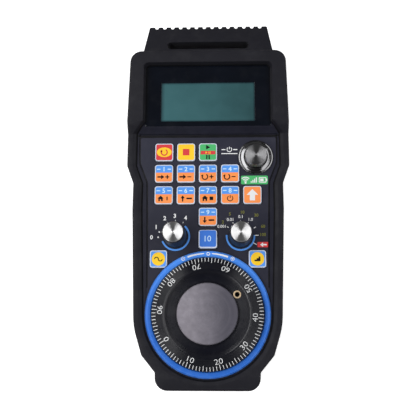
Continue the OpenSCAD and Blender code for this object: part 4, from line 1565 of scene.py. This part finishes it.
CAMERA_PLACE = (0.010775, -0.070517, 0.3882)
CAMERA_TURNS = (("Y", 1.715), ("X", 10.404), ("Z", 0.096))


class PENDANT_OT_stage(PendantOperator):
    """Lay the floor, hang the lamps and set up the camera"""

    bl_idname = "pendant.stage"
    bl_label = "Stage"

    def build(self):
        scene = bpy.context.scene
        light = scene.pendant_light
        lamp("left softbox", -0.37, light.side_lamps * 0.63)
        lamp("right softbox", 0.37, light.side_lamps * 0.37)
        self.world(scene, light)
        self.floor(scene.pendant_colors)

        camera = bpy.data.cameras.new("camera")
        camera.lens = light.focal
        camera.sensor_width = 36.0
        camera.clip_start, camera.clip_end = 0.01, 20.0
        holder = bpy.data.objects.new("camera", camera)
        scene.collection.objects.link(holder)
        turn = Matrix.Identity(4)
        for axis, degrees in CAMERA_TURNS:
            turn = turn @ Matrix.Rotation(math.radians(degrees), 4, axis)
        holder.matrix_world = Matrix.Translation(CAMERA_PLACE) @ turn
        scene.camera = holder
        scene.view_settings.view_transform = "Standard"

    def world(self, scene, light):
        """A white backdrop that lights the pendant more from low down than from above."""
        world = bpy.data.worlds.new("studio")
        world.use_nodes = True
        w = Nodes(world.node_tree)
        way = w.along("Z", w.node("TexCoord").outputs["Generated"])
        sky = w.remap(way, light.horizon, light.overhead, 0.05, 0.75)
        seen = w.node("LightPath").outputs["Is Camera Ray"]
        background = next(n for n in w.tree.nodes if n.type == "BACKGROUND").inputs
        feed(w.tree, background["Color"], (1.0, 1.0, 1.0))
        feed(w.tree, background["Strength"], w.remap(seen, sky, 1.0))
        scene.world = world

    def floor(self, colors):
        """A seamless floor that shows white and keeps the shadow."""
        bm = bmesh.new()
        bmesh.ops.create_grid(bm, x_segments=8, y_segments=8, size=3.0)
        mesh = bpy.data.meshes.new("floor")
        bm.to_mesh(mesh)
        bm.free()
        floor = bpy.data.objects.new("floor", mesh)
        floor.location.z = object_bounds()[0][2] - 0.0002
        bpy.context.scene.collection.objects.link(floor)
        f = Finish("floor", colors.floor, 0.9, Specular_IOR_Level=0.0)
        away = f.calc("VectorMath", {"operation": "LENGTH"}, f.point, output="Value")
        seen = f.node("LightPath").outputs["Is Camera Ray"]
        glow = f.math("MULTIPLY", seen, f.remap(away, 0.62, 1.0, 0.3, 0.9))
        f.set(Emission_Color=(1.0, 1.0, 1.0), Emission_Strength=glow)
        mesh.materials.append(f.material)
        floor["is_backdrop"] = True


class PENDANT_PT_sidebar(bpy.types.Panel):
    """Lists the pendant's sizes, colours and operators"""

    bl_idname = "PENDANT_PT_sidebar"
    bl_label = "Pendant"
    bl_space_type = "VIEW_3D"
    bl_region_type = "UI"
    bl_category = "Pendant"

    def draw(self, context):
        layout = self.layout
        for group in SETTINGS:
            box = layout.box()
            settings = getattr(context.scene, group)
            for name in settings.__annotations__:
                box.prop(settings, name)
        for operator in OPERATORS:
            layout.operator(operator.bl_idname)


SETTINGS = {
    "pendant_jacket": PendantJacket,
    "pendant_marks": PendantMarks,
    "pendant_colors": PendantColors,
    "pendant_light": PendantLight,
}
OPERATORS = (
    PENDANT_OT_case, PENDANT_OT_panel, PENDANT_OT_display, PENDANT_OT_keys, PENDANT_OT_handwheel,
    PENDANT_OT_selectors, PENDANT_OT_power, PENDANT_OT_electronics, PENDANT_OT_stage,
)


def register():
    for name, group in SETTINGS.items():
        bpy.utils.register_class(group)
        setattr(bpy.types.Scene, name, PointerProperty(type=group))
    for shown in (*OPERATORS, PENDANT_PT_sidebar):
        bpy.utils.register_class(shown)


def unregister():
    for shown in (PENDANT_PT_sidebar, *reversed(OPERATORS)):
        bpy.utils.unregister_class(shown)
    for name, group in SETTINGS.items():
        delattr(bpy.types.Scene, name)
        bpy.utils.unregister_class(group)


def plain(bounds):
    return [[float(value) for value in corner] for corner in bounds]


def main():
    register()
    for operator in OPERATORS:
        group, name = operator.bl_idname.split(".")
        getattr(getattr(bpy.ops, group), name)()


if __name__ == "__main__":
    main()
